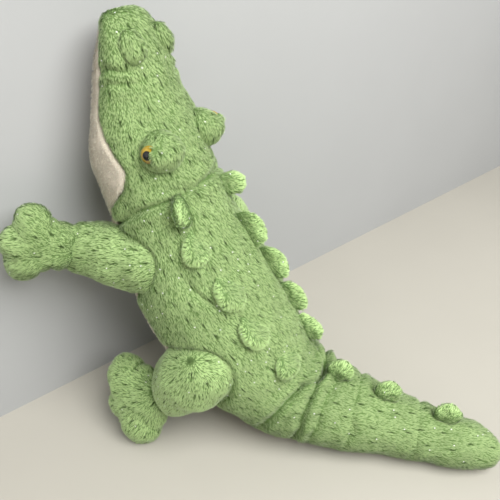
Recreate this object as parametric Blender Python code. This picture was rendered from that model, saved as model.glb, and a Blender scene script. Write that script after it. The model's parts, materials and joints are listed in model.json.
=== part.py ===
# Plush crocodile with its chest raised, made as separate stuffed pieces.
# It faces -Y, its tail lies along +Y, its own left is +X and +Z is up. Lengths are in metres.
import bpy
import bmesh
from math import atan2, cos, hypot, pi, radians, sin, sqrt
from mathutils import Matrix, Vector
from mathutils.kdtree import KDTree

for old in list(bpy.data.objects):
    bpy.data.objects.remove(old, do_unlink=True)

# Lengths along the spine
TAIL_LENGTH = 0.264
TORSO_LENGTH = 0.332
HEAD_LENGTH = 0.215

# Widths of the body across the spine, from the tail to the nose
TAIL_END_WIDTH = 0.037
TAIL_TIP_WIDTH = 0.062
TAIL_BEND_WIDTH = 0.074
TAIL_WIDTH = 0.0955
TAIL_ROOT_WIDTH = 0.123
WAIST_WIDTH = 0.144
HIP_WIDTH = 0.170
BELLY_WIDTH = 0.189
CHEST_WIDTH = 0.193
SHOULDER_WIDTH = 0.186
THROAT_WIDTH = 0.163
NECK_WIDTH = 0.155
BROW_WIDTH = 0.154
CHEEK_WIDTH = 0.116
SNOUT_WIDTH = 0.100
NOSE_WIDTH = 0.080
NOSE_END_WIDTH = 0.050

# Pale underside panels, gaps at seams and joints, and how far soft feet and belly press flat
PANEL_THICKNESS = 0.006
JAW_THICKNESS = 0.007
SEAM_GAP = 0.0004
JOINT_GAP = 0.001
JOINT_RELIEF = 0.004
HINGE_SETBACK = 0.003
PANEL_SIDE_GAP = 0.0008
SEAT_GAP = 0.0004
FLAP_SEAT_GAP = 0.0006
PRESS_DEPTH = 0.002

# Scute flaps along the back
NECK_FLAP_LENGTH = 0.026
BACK_FLAP_LENGTH = 0.040
TAIL_FLAP_LENGTH = 0.029
NECK_FLAP_HEIGHT = 0.026
BACK_FLAP_HEIGHT = 0.031
TAIL_FLAP_HEIGHT = 0.024
FLAP_THICKNESS = 0.014
FLAP_HINGE_SETBACK = 0.0015

# Limbs and paws
ARM_LENGTH = 0.124
ARM_WIDTH = 0.078
WRIST_WIDTH = 0.060
ARM_SINK = 0.030
HAND_LENGTH = 0.076
HAND_BREADTH = 0.094
HAND_THICKNESS = 0.052
LEG_LENGTH = 0.116
THIGH_WIDTH = 0.090
ANKLE_WIDTH = 0.062
LEG_SINK = 0.028
FOOT_LENGTH = 0.080
FOOT_BREADTH = 0.124
FOOT_THICKNESS = 0.058

# Face
BROW_LENGTH = 0.052
BROW_BREADTH = 0.046
BROW_HEIGHT = 0.024
NOSTRIL_LENGTH = 0.030
NOSTRIL_BREADTH = 0.026
NOSTRIL_HEIGHT = 0.011
EYE_DIAMETER = 0.020
EYE_HEIGHT = 0.007
EYE_RIM = 0.0015
PUPIL_DIAMETER = 0.010
PUPIL_HEIGHT = 0.0015
SHANK_DIAMETER = 0.005
SHANK_LENGTH = 0.010
WASHER_DIAMETER = 0.014
WASHER_THICKNESS = 0.0015
WASHER_DEPTH = 0.005
EYE_SEAT_DEPTH = 0.003

# Centreline: spine lifts above level and turns to the right, in degrees
TAIL_LIFT_ANGLES = ((0.0, 3.5), (0.15, 5.0), (0.333, 5.4), (0.6, 7.0), (0.867, 9.0))
TORSO_LIFT_ANGLES = ((0.0, 14.0), (0.152, 36.5), (0.306, 51.0), (0.561, 57.5), (0.819, 64.0))
HEAD_LIFT_ANGLES = ((0.12, 69.0), (0.54, 81.0), (1.0, 68.0))
TAIL_TURN_ANGLES = ((0.0, 0.0), (0.6, 0.0), (0.867, 2.0))
TORSO_TURN_ANGLES = ((0.152, 5.0), (0.306, 7.5), (0.561, 14.0), (0.819, 20.0))
HEAD_TURN_ANGLES = ((0.12, 19.0), (1.0, 19.0))
HEAD_ROLL_ANGLE = 8.0
SPINE_START_ANGLE = -90.0

# Edges of the pale panels, in degrees round from the middle of the back
TAIL_EDGE_ANGLES = ((0.0, 142.0), (0.867, 140.0))
TORSO_EDGE_ANGLES = ((0.1, 134.0), (0.5, 125.0), (0.9, 119.0))
HEAD_EDGE_ANGLES = ((0.0, 119.0), (0.06, 117.0), (0.12, 97.0), (0.18, 80.0), (0.26, 73.0), (0.34, 78.0),
              (0.46, 89.0), (0.6, 102.0), (0.8, 104.0), (1.0, 100.0))

# Hinges: places along the spine as shares of the length that holds them, and the knuckle's oversize
NECK_SHARE = 0.958
WAIST_SHARE = 0.053
TAIL_BEND_SHARE = 0.47
KNUCKLE_SHARE = 1.06

# Flaps: places as shares of the torso or tail, angles out from the middle of the back, and leans
LEFT_BACK_FLAP_SHARES = (0.826, 0.64, 0.455, 0.262)
RIGHT_BACK_FLAP_SHARES = (0.79, 0.602, 0.412, 0.222)
BACK_FLAP_ANGLES = (28.0, 28.0, 28.0, 26.0)
NECK_FLAP_SHARE = 0.972
NECK_FLAP_ANGLE = 31.0
TAIL_FLAP_SHARES = (0.873, 0.62, 0.318)
LEFT_FLAP_LEAN_ANGLE = 46.0
RIGHT_FLAP_LEAN_ANGLE = -22.0
TAIL_FLAP_LEAN_ANGLE = -12.0
FLAP_ROOT_SHARE = 0.86
FLAP_SEAT_SHARES = (0.5, 1.0)
FLAP_PROFILE_SHARES = ((0.3, 1.0, 0.95), (0.6, 0.96, 1.0), (0.84, 0.72, 0.78), (0.96, 0.4, 0.45))

# Face: places as shares of the head, and angles out from its middle
BROW_SHARE = 0.325
BROW_ANGLE = 34.0
NOSTRIL_SHARE = 0.824
NOSTRIL_ANGLE = 32.0
EYE_LIFT_ANGLE = 42.0
EYE_FORWARD_ANGLE = 14.0
PUPIL_SEAT_SHARE = 1.06
PUPIL_PROFILE_SHARES = ((1.0, 0.3), (0.7, 0.8), (0.3, 1.0))
DOME_SEAT_SHARES = (0.5, 0.8, 1.0)

# Arms: where they leave the torso, and the turns and lifts along them
ARM_SHARE = 0.775
ARM_ANGLE = 70.0
ARM_WIDTH_SHARES = ((0.0, 0.6), (0.14, 0.88), (0.3, 1.0), (0.5, 1.0))
ARM_DEPTH_SHARE = 0.92
WRIST_DEPTH_SHARE = 0.74
LEFT_ARM_TURN_ANGLES = ((0.0, -93.0), (0.6, -84.0), (1.0, -46.0))
LEFT_ARM_LIFT_ANGLES = ((0.0, 5.0), (0.6, 9.0), (1.0, 24.0))
RIGHT_ARM_TURN_ANGLES = ((0.0, -168.0), (0.5, -140.0), (1.0, -116.0))
RIGHT_ARM_LIFT_ANGLES = ((0.0, -8.0), (0.5, -36.0), (1.0, -46.0))
LEFT_HAND_ROLL_ANGLE = 90.0
RIGHT_HAND_ROLL_ANGLE = 80.0

# Legs: where they leave the torso, and the turns and lifts along them
LEG_SHARE = 0.385
LEG_ANGLE = 71.0
LEG_WIDTH_SHARES = ((0.0, 0.5), (0.12, 0.8), (0.28, 0.97), (0.42, 1.0), (0.6, 0.9))
LEG_DEPTH_SHARE = 0.94
ANKLE_DEPTH_SHARE = 0.72
LEFT_LEG_TURN_ANGLES = ((0.0, -30.0), (0.35, -92.0), (1.0, -86.0))
RIGHT_LEG_TURN_ANGLES = ((0.0, -155.0), (0.35, -105.0), (1.0, -80.0))
LEG_LIFT_ANGLES = ((0.0, 2.0), (0.35, -32.0), (0.7, -46.0), (1.0, -20.0))
MOST_DROP_ANGLE = 60.0
LEFT_FOOT_ROLL_ANGLE = 120.0
RIGHT_FOOT_ROLL_ANGLE = -120.0

# Paws
PALM_SHARE = 0.46
PALM_RADIUS_SHARE = 0.36
TOE_RADIUS_SHARE = 0.2
TOE_ANGLES_AND_SHARES = ((-52.0, 0.92), (0.0, 1.0), (52.0, 0.92))
TOE_SPREAD_ANGLE = 52.0
PAW_RING_SHARES = (0.45, 0.74, 0.9)
PUFF = 2.2

# Facets
DORSAL_SIDES = 20
VENTRAL_SIDES = 8
LIMB_SIDES = 14
PAW_SIDES = 32
FLAP_SIDES = 10
DOME_SIDES = 16
EYE_SIDES = 20
EYE_ROWS = 4
DOME_ROWS = 4
CAP_SHARES = (0.955, 0.88, 0.7, 0.38)
TAIL_TIP_ROW_SHARES = (0.012, 0.04, 0.08, 0.09, 0.17, 0.29, 0.43, 0.57, 0.71, 0.85, 1.0)
TAIL_TIP_PANEL_SHARES = (0.09, 1.0)
TAIL_BASE_ROW_SHARES = (0.0, 0.11, 0.23, 0.36, 0.49, 0.62, 0.75, 0.88, 1.0)
TORSO_ROW_SHARES = (0.0, 0.05, 0.1, 0.16, 0.22, 0.28, 0.34, 0.41, 0.48, 0.56, 0.64, 0.72, 0.8, 0.87,
                    0.94, 1.0)
WHOLE_PANEL_SHARES = (0.0, 1.0)
HEAD_ROW_SHARES = (0.0, 0.04, 0.07, 0.1, 0.13, 0.17, 0.22, 0.29, 0.37, 0.46, 0.55, 0.64, 0.73, 0.81,
                   0.88, 0.93, 0.955, 0.962, 0.98, 0.994)
HEAD_PANEL_SHARES = (0.0, 0.955)
LIMB_ROW_SHARES = (0.0, 0.14, 0.3, 0.46, 0.62, 0.78, 0.9, 1.0)
PATH_STEPS = 240
SEARCH_STEPS = 34
MERGE_DISTANCE = 1e-6

FUR_GREEN = (0.340, 0.505, 0.215, 1.0)
FUR_PALE = (0.420, 0.590, 0.270, 1.0)
PLUSH_CREAM = (0.730, 0.660, 0.540, 1.0)
AMBER = (0.560, 0.320, 0.012, 1.0)
PUPIL_BLACK = (0.008, 0.008, 0.008, 1.0)
WASHER_WHITE = (0.800, 0.800, 0.780, 1.0)
FUR_ROUGHNESS = 0.95
PLUSH_ROUGHNESS = 0.9
PLASTIC_ROUGHNESS = 0.5
GLOSS_ROUGHNESS = 0.08


class Curve:
    """A smooth curve through (place, value) pairs that never overshoots them."""

    def __init__(self, pairs):
        self.places = [pair[0] for pair in pairs]
        self.values = [pair[1] for pair in pairs]
        count = len(pairs)
        gaps = [self.places[i + 1] - self.places[i] for i in range(count - 1)]
        slopes = [(self.values[i + 1] - self.values[i]) / gaps[i] for i in range(count - 1)]
        self.tangents = [0.0] * count
        for i in range(1, count - 1):
            if slopes[i - 1] * slopes[i] > 0:
                before = 2 * gaps[i] + gaps[i - 1]
                after = gaps[i] + 2 * gaps[i - 1]
                self.tangents[i] = (before + after) / (before / slopes[i - 1] + after / slopes[i])
        self.tangents[0] = slopes[0]
        self.tangents[-1] = slopes[-1]

    def __call__(self, place):
        if place <= self.places[0]:
            return self.values[0]
        if place >= self.places[-1]:
            return self.values[-1]
        i = 0
        while self.places[i + 1] < place:
            i += 1
        gap = self.places[i + 1] - self.places[i]
        t = (place - self.places[i]) / gap
        rise = (1 + 2 * t) * (1 - t) ** 2 * self.values[i] + t * t * (3 - 2 * t) * self.values[i + 1]
        bend = t * (1 - t) ** 2 * self.tangents[i] - t * t * (1 - t) * self.tangents[i + 1]
        return rise + gap * bend


def direction(azimuth, lift):
    """The unit vector at an azimuth from +X and a lift above level, in degrees."""
    level = cos(radians(lift))
    return Vector((level * cos(radians(azimuth)), level * sin(radians(azimuth)), sin(radians(lift))))


class Path:
    """A centreline from a start point, with its forward, side and up directions."""

    def __init__(self, start, length, azimuth, lift, roll):
        self.length = length
        self.step = length / PATH_STEPS
        self.points = [Vector(start)]
        self.axes = []
        for i in range(PATH_STEPS + 1):
            place = i * self.step
            forward = direction(azimuth(place), lift(place))
            side = direction(azimuth(place) + 90.0, 0.0)
            turn = Matrix.Rotation(radians(roll(place)), 3, forward)
            side = turn @ side
            self.axes.append((forward, side, forward.cross(side)))
            if i:
                middle = (forward + self.axes[i - 1][0]) / 2
                self.points.append(self.points[-1] + middle * self.step)
        self.tree = KDTree(len(self.points))
        for i, point in enumerate(self.points):
            self.tree.insert(point, i)
        self.tree.balance()

    def at(self, place):
        """Centre, forward, side and up at a distance along the path, straight past its ends."""
        spot = min(max(place, 0.0), self.length) / self.step
        i = min(int(spot), PATH_STEPS - 1)
        t = spot - i
        centre = self.points[i].lerp(self.points[i + 1], t)
        forward, side, up = [a.lerp(b, t).normalized() for a, b in zip(self.axes[i], self.axes[i + 1])]
        past = place - min(max(place, 0.0), self.length)
        return centre + forward * past, forward, side, up


class Form:
    """A stuffed body around a path, oval in section. Angles run from its back to its left side."""

    def __init__(self, path, half_width, half_depth):
        self.path = path
        self.half_width = half_width
        self.half_depth = half_depth

    def point(self, place, angle, inset=0.0, reach=1.0):
        centre, forward, side, up = self.path.at(place)
        wide = max(self.half_width(place) - inset, 0.0) * reach
        deep = max(self.half_depth(place) - inset, 0.0) * reach
        return centre + side * (wide * sin(angle)) + up * (deep * cos(angle))

    def normal(self, place, angle):
        centre, forward, side, up = self.path.at(place)
        out = side * (sin(angle) / self.half_width(place)) + up * (cos(angle) / self.half_depth(place))
        return out.normalized()

    def fill(self, spot, margin):
        """Below 1 inside the form grown by the margin, and above 1 outside it."""
        near, i, gap = self.path.tree.find(spot)
        place = i * self.path.step + (spot - near).dot(self.path.axes[i][0])
        centre, forward, side, up = self.path.at(place)
        away = spot - centre
        wide = self.half_width(place) + margin
        deep = self.half_depth(place) + margin
        return hypot(away.dot(side) / wide, away.dot(up) / deep)

    def angle_at(self, spot, way):
        """How far round from the back a spot lies, towards the left (1) or right (-1), and its place."""
        near, i, gap = self.path.tree.find(spot)
        place = i * self.path.step + (spot - near).dot(self.path.axes[i][0])
        centre, forward, side, up = self.path.at(place)
        away = spot - centre
        across = away.dot(side) * way / self.half_width(place)
        return atan2(across, away.dot(up) / self.half_depth(place)), place


class Knuckle:
    """A rounded joint face that turns about the sideways axis at a place on the spine."""

    def __init__(self, form, place):
        self.form = form
        self.centre, self.forward, self.side, self.up = form.path.at(place)
        self.place = place
        self.half_width = form.half_width(place) * KNUCKLE_SHARE
        self.radius = form.half_depth(place) * KNUCKLE_SHARE

    def fill(self, spot, margin):
        away = spot - self.centre
        turned = hypot(away.dot(self.forward), away.dot(self.up)) / (self.radius + margin)
        return hypot(turned, away.dot(self.side) / (self.half_width + margin))


def crossing(point_at, fill, inside, outside):
    """The place between an inside and an outside one where a line of points leaves a shape."""
    for step in range(SEARCH_STEPS):
        middle = (inside + outside) / 2
        if fill(point_at(middle)) < 1:
            inside = middle
        else:
            outside = middle
    return (inside + outside) / 2


def tail_place(share):
    return share * TAIL_LENGTH


def torso_place(share):
    return TAIL_LENGTH + share * TORSO_LENGTH


def head_place(share):
    return TAIL_LENGTH + TORSO_LENGTH + share * HEAD_LENGTH


def along_spine(tail_pairs, torso_pairs, head_pairs):
    """One list of (place, value) pairs from the tables of the three lengths."""
    pairs = [(tail_place(share), value) for share, value in tail_pairs]
    pairs += [(torso_place(share), value) for share, value in torso_pairs]
    pairs += [(head_place(share), value) for share, value in head_pairs]
    return pairs


def make_body():
    """The form of tail, torso and head, with its lowest side pressed on the ground."""
    widths = along_spine(
        ((0.0, 0.0), (0.05, TAIL_END_WIDTH), (0.167, TAIL_TIP_WIDTH), (0.333, TAIL_BEND_WIDTH),
         (0.6, TAIL_WIDTH), (0.867, TAIL_ROOT_WIDTH)),
        ((0.048, WAIST_WIDTH), (0.202, HIP_WIDTH), (0.357, BELLY_WIDTH), (0.561, CHEST_WIDTH),
         (0.716, SHOULDER_WIDTH), (0.87, THROAT_WIDTH)),
        ((0.04, NECK_WIDTH), (0.29, BROW_WIDTH), (0.624, CHEEK_WIDTH), (0.833, SNOUT_WIDTH),
         (0.937, NOSE_WIDTH), (0.985, NOSE_END_WIDTH), (1.0, 0.0)))
    depth_shares = along_spine(
        ((0.0, 1.0), (0.333, 0.88), (0.833, 0.82)),
        ((0.25, 0.80), (0.716, 0.80), (0.9, 0.82)),
        ((0.2, 0.80), (0.624, 0.74), (1.0, 0.74)))
    width = Curve(widths)
    depth_share = Curve(depth_shares)
    turn = Curve(along_spine(TAIL_TURN_ANGLES, TORSO_TURN_ANGLES, HEAD_TURN_ANGLES))
    lift = Curve(along_spine(TAIL_LIFT_ANGLES, TORSO_LIFT_ANGLES, HEAD_LIFT_ANGLES))
    roll = Curve(along_spine((), ((0.85, 0.0), (0.95, HEAD_ROLL_ANGLE / 2)),
                             ((0.1, HEAD_ROLL_ANGLE), (1.0, HEAD_ROLL_ANGLE))))
    length = TAIL_LENGTH + TORSO_LENGTH + HEAD_LENGTH

    def half_width(place):
        return width(place) / 2

    def half_depth(place):
        return width(place) / 2 * depth_share(place)

    def azimuth(place):
        return SPINE_START_ANGLE - turn(place)

    form = Form(Path((0.0, 0.0, 0.0), length, azimuth, lift, roll), half_width, half_depth)
    places = [i * form.path.step for i in range(PATH_STEPS)]
    start = (0.0, 0.0, -PRESS_DEPTH - min(form.point(place, pi).z for place in places))
    return Form(Path(start, length, azimuth, lift, roll), half_width, half_depth)


def material(name, colour, roughness):
    finish = bpy.data.materials.new(name)
    finish.use_nodes = True
    shader = finish.node_tree.nodes["Principled BSDF"]
    shader.inputs["Base Color"].default_value = colour
    shader.inputs["Roughness"].default_value = roughness
    shader.inputs["Metallic"].default_value = 0.0
    return finish


def add(name, solid, colour, roughness, pivot):
    """One named object whose own frame is the pivot, from points and faces in place."""
    points, faces = solid
    back = pivot.inverted()
    mesh = bpy.data.meshes.new(name)
    mesh.from_pydata([back @ point for point in points], [], faces)
    shape = bmesh.new()
    shape.from_mesh(mesh)
    bmesh.ops.remove_doubles(shape, verts=shape.verts, dist=MERGE_DISTANCE)
    bmesh.ops.recalc_face_normals(shape, faces=shape.faces)
    if shape.calc_volume(signed=True) < 0:
        bmesh.ops.reverse_faces(shape, faces=shape.faces)
    shape.to_mesh(mesh)
    shape.free()
    mesh.shade_smooth()
    thing = bpy.data.objects.new(name, mesh)
    bpy.context.collection.objects.link(thing)
    thing.matrix_basis = pivot
    mesh.materials.append(material(name, colour, roughness))
    return thing


def pivot_at(centre, axis):
    """A frame at a joint's centre whose X runs along the joint's axis."""
    turn = Vector((1.0, 0.0, 0.0)).rotation_difference(axis.normalized())
    return Matrix.Translation(centre) @ turn.to_matrix().to_4x4()


def split_face(a, b, c, d):
    """Two triangles that meet on the line from the first corner to the third."""
    return [(a, b, c), (a, c, d)]


def loft(rings, first_tip, last_tip, cap_rows=0):
    """A closed solid through rings of equal count, ended by a fan to a tip at each end."""
    count = len(rings[0])
    points = [point for ring in rings for point in ring] + [first_tip, last_tip]
    faces = []
    for row in range(len(rings) - 1):
        for i in range(count):
            j = (i + 1) % count
            low = row * count
            if row < len(rings) - 1 - cap_rows:
                faces += split_face(low + i, low + j, low + count + j, low + count + i)
            else:
                faces += split_face(low + j, low + count + j, low + count + i, low + i)
    last = (len(rings) - 1) * count
    for i in range(count):
        j = (i + 1) % count
        faces.append((j, i, len(points) - 2))
        faces.append((last + i, last + j, len(points) - 1))
    return points, faces


def shell_loft(rings):
    """A closed solid through crescent rings, each an outer row of points and the inner row back."""
    count = len(rings[0])
    points = [point for ring in rings for point in ring]
    faces = []
    for row in range(len(rings) - 1):
        for i in range(count):
            j = (i + 1) % count
            low = row * count
            if i < count // 2:
                faces += split_face(low + i, low + j, low + count + j, low + count + i)
            else:
                faces += split_face(low + j, low + count + j, low + count + i, low + i)
    last = (len(rings) - 1) * count
    for end in (0, last):
        for i in range(count // 2 - 1):
            faces += split_face(end + i, end + i + 1, end + count - 2 - i, end + count - 1 - i)
    return points, faces


class Tip:
    """The end of a bag that closes to a point on the spine."""

    def __init__(self, place):
        self.place = place
        self.cap_shares = ()

    def find(self, form, angle, inset, reach):
        return self.place


class JointFace:
    """The end of a bag on a knuckle, towards the head (1) or the tail (-1) of the spine."""

    def __init__(self, knuckle, way, margin, relief):
        self.knuckle = knuckle
        self.way = way
        self.margin = margin
        self.relief = relief
        self.cap_shares = CAP_SHARES
        self.place = self.find(knuckle.form, 0.0, 0.0, 1.0)

    def find(self, form, angle, inset, reach):
        def point_at(place):
            return form.point(place, angle, inset, reach)

        def fill(spot):
            return self.knuckle.fill(spot, self.margin + self.relief * (1 - reach))

        near = self.knuckle.place
        far = near + self.way * 2 * self.knuckle.radius
        return crossing(point_at, fill, near, far)


class Section:
    """A stretch of the body between two ends, sewn from a green bag and a pale panel under it."""

    def __init__(self, form, start, end, rows, panel_rows, thickness):
        self.form = form
        self.start = start
        self.end = end
        self.rows = rows
        self.panel_rows = panel_rows
        self.thickness = thickness
        self.panel_edge = Curve(along_spine(TAIL_EDGE_ANGLES, TORSO_EDGE_ANGLES, HEAD_EDGE_ANGLES))

    def edge(self, share):
        return radians(self.panel_edge(self.start.place * (1 - share) + self.end.place * share))

    def columns(self, share):
        """Each column's angle and whether the panel lies over it, all round the bag."""
        edge = self.edge(share)
        place = self.start.place * (1 - share) + self.end.place * share
        seam = edge - PANEL_SIDE_GAP / max(self.form.half_depth(place), self.thickness)
        low = 2 * pi - 2 * edge
        columns = [(seam * (2 * i / DORSAL_SIDES - 1), False) for i in range(DORSAL_SIDES + 1)]
        columns.append((seam, True))
        columns += [(edge + low * i / VENTRAL_SIDES, True) for i in range(1, VENTRAL_SIDES)]
        columns.append((2 * pi - seam, True))
        return columns

    def inset(self, under, share):
        first, last = self.panel_rows
        return self.thickness + SEAM_GAP if under and first <= share <= last else 0.0

    def bag(self):
        """The green bag: a cap, the rows between its ends, and a cap."""
        first = [(angle, self.inset(under, 0.0)) for angle, under in self.columns(0.0)]
        last = [(angle, self.inset(under, 1.0)) for angle, under in self.columns(1.0)]
        starts = [self.start.find(self.form, angle, inset, 1.0) for angle, inset in first]
        ends = [self.end.find(self.form, angle, inset, 1.0) for angle, inset in last]
        rings = [self.cap_ring(self.start, first, reach) for reach in reversed(self.start.cap_shares)]
        for share in self.rows:
            ring = []
            for i, (angle, under) in enumerate(self.columns(share)):
                place = starts[i] * (1 - share) + ends[i] * share
                ring.append(self.form.point(place, angle, self.inset(under, share)))
            rings.append(ring)
        rings += [self.cap_ring(self.end, last, reach) for reach in self.end.cap_shares]
        return loft(rings, self.tip(self.start), self.tip(self.end), len(self.end.cap_shares))

    def cutter(self):
        """The whole skin of green bag and panel, grown by the gap that its neighbours keep."""
        starts = [self.start.find(self.form, angle, 0.0, 1.0) for angle in self.skin_angles(0.0)]
        ends = [self.end.find(self.form, angle, 0.0, 1.0) for angle in self.skin_angles(1.0)]
        rings = []
        for share in self.rows:
            ring = []
            for angle, first, last in zip(self.skin_angles(share), starts, ends):
                ring.append(self.form.point(first * (1 - share) + last * share, angle, -SEAM_GAP))
            rings.append(ring)
        return loft(rings, self.tip(self.start), self.tip(self.end))

    def skin_angles(self, share):
        """The angles of the green bag's outer columns and then the panel's."""
        dorsal = [angle for angle, under in self.columns(share) if not under]
        return dorsal + [self.panel_angle(share, i) for i in range(VENTRAL_SIDES + 1)]

    def cap_ring(self, face, columns, reach):
        ring = []
        for angle, inset in columns:
            place = face.find(self.form, angle, inset, reach)
            ring.append(self.form.point(place, angle, inset, reach))
        return ring

    def tip(self, face):
        place = face.find(self.form, 0.0, 0.0, 0.0)
        return self.form.point(place, 0.0, 0.0, 0.0)

    def panel(self):
        """The pale panel, pressed flat where it rests on the ground."""
        first, last = self.panel_rows
        count = VENTRAL_SIDES + 1
        sheets = []
        for depth in (0.0, self.thickness):
            starts = []
            ends = []
            for i in range(count):
                starts.append(self.panel_end(self.start, self.panel_angle(0.0, i), depth))
                ends.append(self.panel_end(self.end, self.panel_angle(1.0, i), depth))
            sheets.append((depth, starts, ends))
        rings = []
        for share in self.rows:
            if first <= share <= last:
                outer = self.panel_row(share, sheets[0], self.gap_at(share))
                inner = self.panel_row(share, sheets[1], self.gap_at(share))
                rings.append(pressed(outer) + list(reversed(inner)))
        return shell_loft(rings)

    def panel_end(self, face, angle, depth):
        """Where a line of the panel meets an end's face, once the ground has pressed it up."""
        place = face.find(self.form, angle, depth, 1.0)
        low = min(self.form.point(place, angle, depth).z, 0.0)
        return face.find(self.form, angle, depth - low, 1.0)

    def panel_angle(self, share, i):
        edge = self.edge(share)
        return edge + (2 * pi - 2 * edge) * i / VENTRAL_SIDES

    def gap_at(self, share):
        """How far a panel's end row steps back from the green rim that closes over it."""
        first, last = self.panel_rows
        if share == first and first > 0:
            return SEAM_GAP
        return -SEAM_GAP if share == last and last < 1 else 0.0

    def panel_row(self, share, sheet, back):
        depth, starts, ends = sheet
        row = []
        for i in range(VENTRAL_SIDES + 1):
            place = starts[i] * (1 - share) + ends[i] * share + back
            row.append(self.form.point(place, self.panel_angle(share, i), depth))
        return row


def surface_spot(form, place, angle, ahead, across, lift):
    """A point over a form's surface, ahead along the spine and across to the left of a place."""
    reach = hypot(form.half_width(place) * cos(angle), form.half_depth(place) * sin(angle))
    turned = angle + across / reach
    spot = form.point(place + ahead, turned)
    return spot + form.normal(place + ahead, turned) * lift


def flap(form, place, angle, length, height, lean):
    """A rounded, padded tab that stands on a back seam and leans to the left by an angle."""
    normal = form.normal(place, angle)
    centre, forward, side, up = form.path.at(place)
    along = (forward - normal * forward.dot(normal)).normalized()
    left = normal.cross(along)
    rise = normal * cos(radians(lean)) + left * sin(radians(lean))
    thick = rise.cross(along)
    rings = []
    for reach in FLAP_SEAT_SHARES:
        rings.append([flap_seat(form, place, angle, length, reach, i) for i in range(FLAP_SIDES)])
    root = surface_spot(form, place, angle, 0.0, 0.0, FLAP_SEAT_GAP)
    for share, long_share, thick_share in FLAP_PROFILE_SHARES:
        middle = root + rise * height * share
        ring = []
        for i in range(FLAP_SIDES):
            round_angle = 2 * pi * i / FLAP_SIDES
            ahead = along * (length / 2 * long_share * cos(round_angle))
            ring.append(middle + ahead + thick * (FLAP_THICKNESS / 2 * thick_share * sin(round_angle)))
        rings.append(ring)
    aside = FLAP_THICKNESS / 2 * FLAP_ROOT_SHARE + FLAP_HINGE_SETBACK
    hinge = surface_spot(form, place, angle, 0.0, -aside, FLAP_SEAT_GAP)
    return loft(rings, root, root + rise * height), pivot_at(hinge, along)


def flap_seat(form, place, angle, length, reach, i):
    """A point of a flap's underside, which follows the back a hair above it."""
    round_angle = 2 * pi * i / FLAP_SIDES
    ahead = length / 2 * FLAP_ROOT_SHARE * reach * cos(round_angle)
    across = FLAP_THICKNESS / 2 * FLAP_ROOT_SHARE * reach * sin(round_angle)
    return surface_spot(form, place, angle, ahead, across, FLAP_SEAT_GAP)


def dome(form, place, angle, length, breadth, height):
    """A soft mound sewn on a form, whose underside follows the form a hair above it."""
    rings = []
    for reach, rise in [(share, 0.0) for share in DOME_SEAT_SHARES] + dome_profile():
        ring = []
        for i in range(DOME_SIDES):
            round_angle = 2 * pi * i / DOME_SIDES
            ahead = length / 2 * reach * cos(round_angle)
            across = breadth / 2 * reach * sin(round_angle)
            ring.append(surface_spot(form, place, angle, ahead, across, SEAT_GAP + height * rise))
        rings.append(ring)
    bottom = surface_spot(form, place, angle, 0.0, 0.0, SEAT_GAP)
    top = surface_spot(form, place, angle, 0.0, 0.0, SEAT_GAP + height)
    return loft(rings, bottom, top)


def dome_profile():
    """How far out and how high each ring of a mound lies, as parts of its reach and height."""
    rings = []
    for i in range(1, DOME_ROWS):
        rise = pi / 2 * i / DOME_ROWS
        rings.append((cos(rise), sin(rise)))
    return rings


def turned(profile, frame, sides):
    """A solid of revolution about a frame's Z from (radius, height) pairs off its axis."""
    rings = []
    for radius, height in profile:
        ring = []
        for i in range(sides):
            round_angle = 2 * pi * i / sides
            ring.append(frame @ Vector((radius * cos(round_angle), radius * sin(round_angle), height)))
        rings.append(ring)
    bottom = frame @ Vector((0.0, 0.0, profile[0][1]))
    top = frame @ Vector((0.0, 0.0, profile[-1][1]))
    return loft(rings, bottom, top)


def washer(inner, outer, low, high, frame):
    """A flat ring about a frame's Z."""
    rings = []
    for radius, height in ((inner, low), (outer, low), (outer, high), (inner, high)):
        for i in range(EYE_SIDES):
            round_angle = 2 * pi * i / EYE_SIDES
            rings.append(frame @ Vector((radius * cos(round_angle), radius * sin(round_angle), height)))
    faces = []
    for row in range(4):
        for i in range(EYE_SIDES):
            j = (i + 1) % EYE_SIDES
            low_row = row * EYE_SIDES
            high_row = (row + 1) % 4 * EYE_SIDES
            faces.append((low_row + i, low_row + j, high_row + j, high_row + i))
    return rings, faces


class Limb:
    """An arm or leg that grows out of the body and ends in a flat wrist or ankle."""

    def __init__(self, root, length, turns, lifts, roll, widths, depths):
        azimuth = Curve([(share * length, value) for share, value in turns])
        lift = Curve([(share * length, value) for share, value in lifts])
        width = Curve([(share * length, value) for share, value in widths])
        depth = Curve([(share * length, value) for share, value in depths])
        path = Path(root, length, azimuth, lift, lambda place: roll)
        self.form = Form(path, lambda place: width(place) / 2, lambda place: depth(place) / 2)
        self.length = length

    def solid(self):
        """The limb from its rounded root inside the body to its wrist or ankle."""
        rings = []
        for share in LIMB_ROW_SHARES:
            place = self.length * share
            rings.append([self.form.point(place, 2 * pi * i / LIMB_SIDES) for i in range(LIMB_SIDES)])
        return loft(rings, self.form.path.at(0.0)[0], self.form.path.at(self.length)[0])

    def hinge(self, body, way):
        """The frame at the edge of the limb's seam nearest the back, where it swings outwards."""
        def fill(spot):
            return body.fill(spot, SEAM_GAP)

        nearest = (pi, 0.0)
        for i in range(LIMB_SIDES):
            def point_at(place):
                return self.form.point(place, 2 * pi * i / LIMB_SIDES)

            spot = point_at(crossing(point_at, fill, 0.0, self.length))
            nearest = min(nearest, body.angle_at(spot, way))
        angle, place = nearest
        spot = surface_spot(body, place, angle * way, 0.0, -HINGE_SETBACK * way, SEAT_GAP)
        ahead = surface_spot(body, place, angle * way, HINGE_SETBACK, -HINGE_SETBACK * way, SEAT_GAP)
        return pivot_at(spot, (ahead - spot) * way)

    def end(self):
        """The frame at the wrist or ankle: X to the toes, Y across the paw, Z through it."""
        centre, forward, side, up = self.form.path.at(self.length)
        return Matrix.Translation(centre) @ Matrix((forward, side, up)).transposed().to_4x4()


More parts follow.
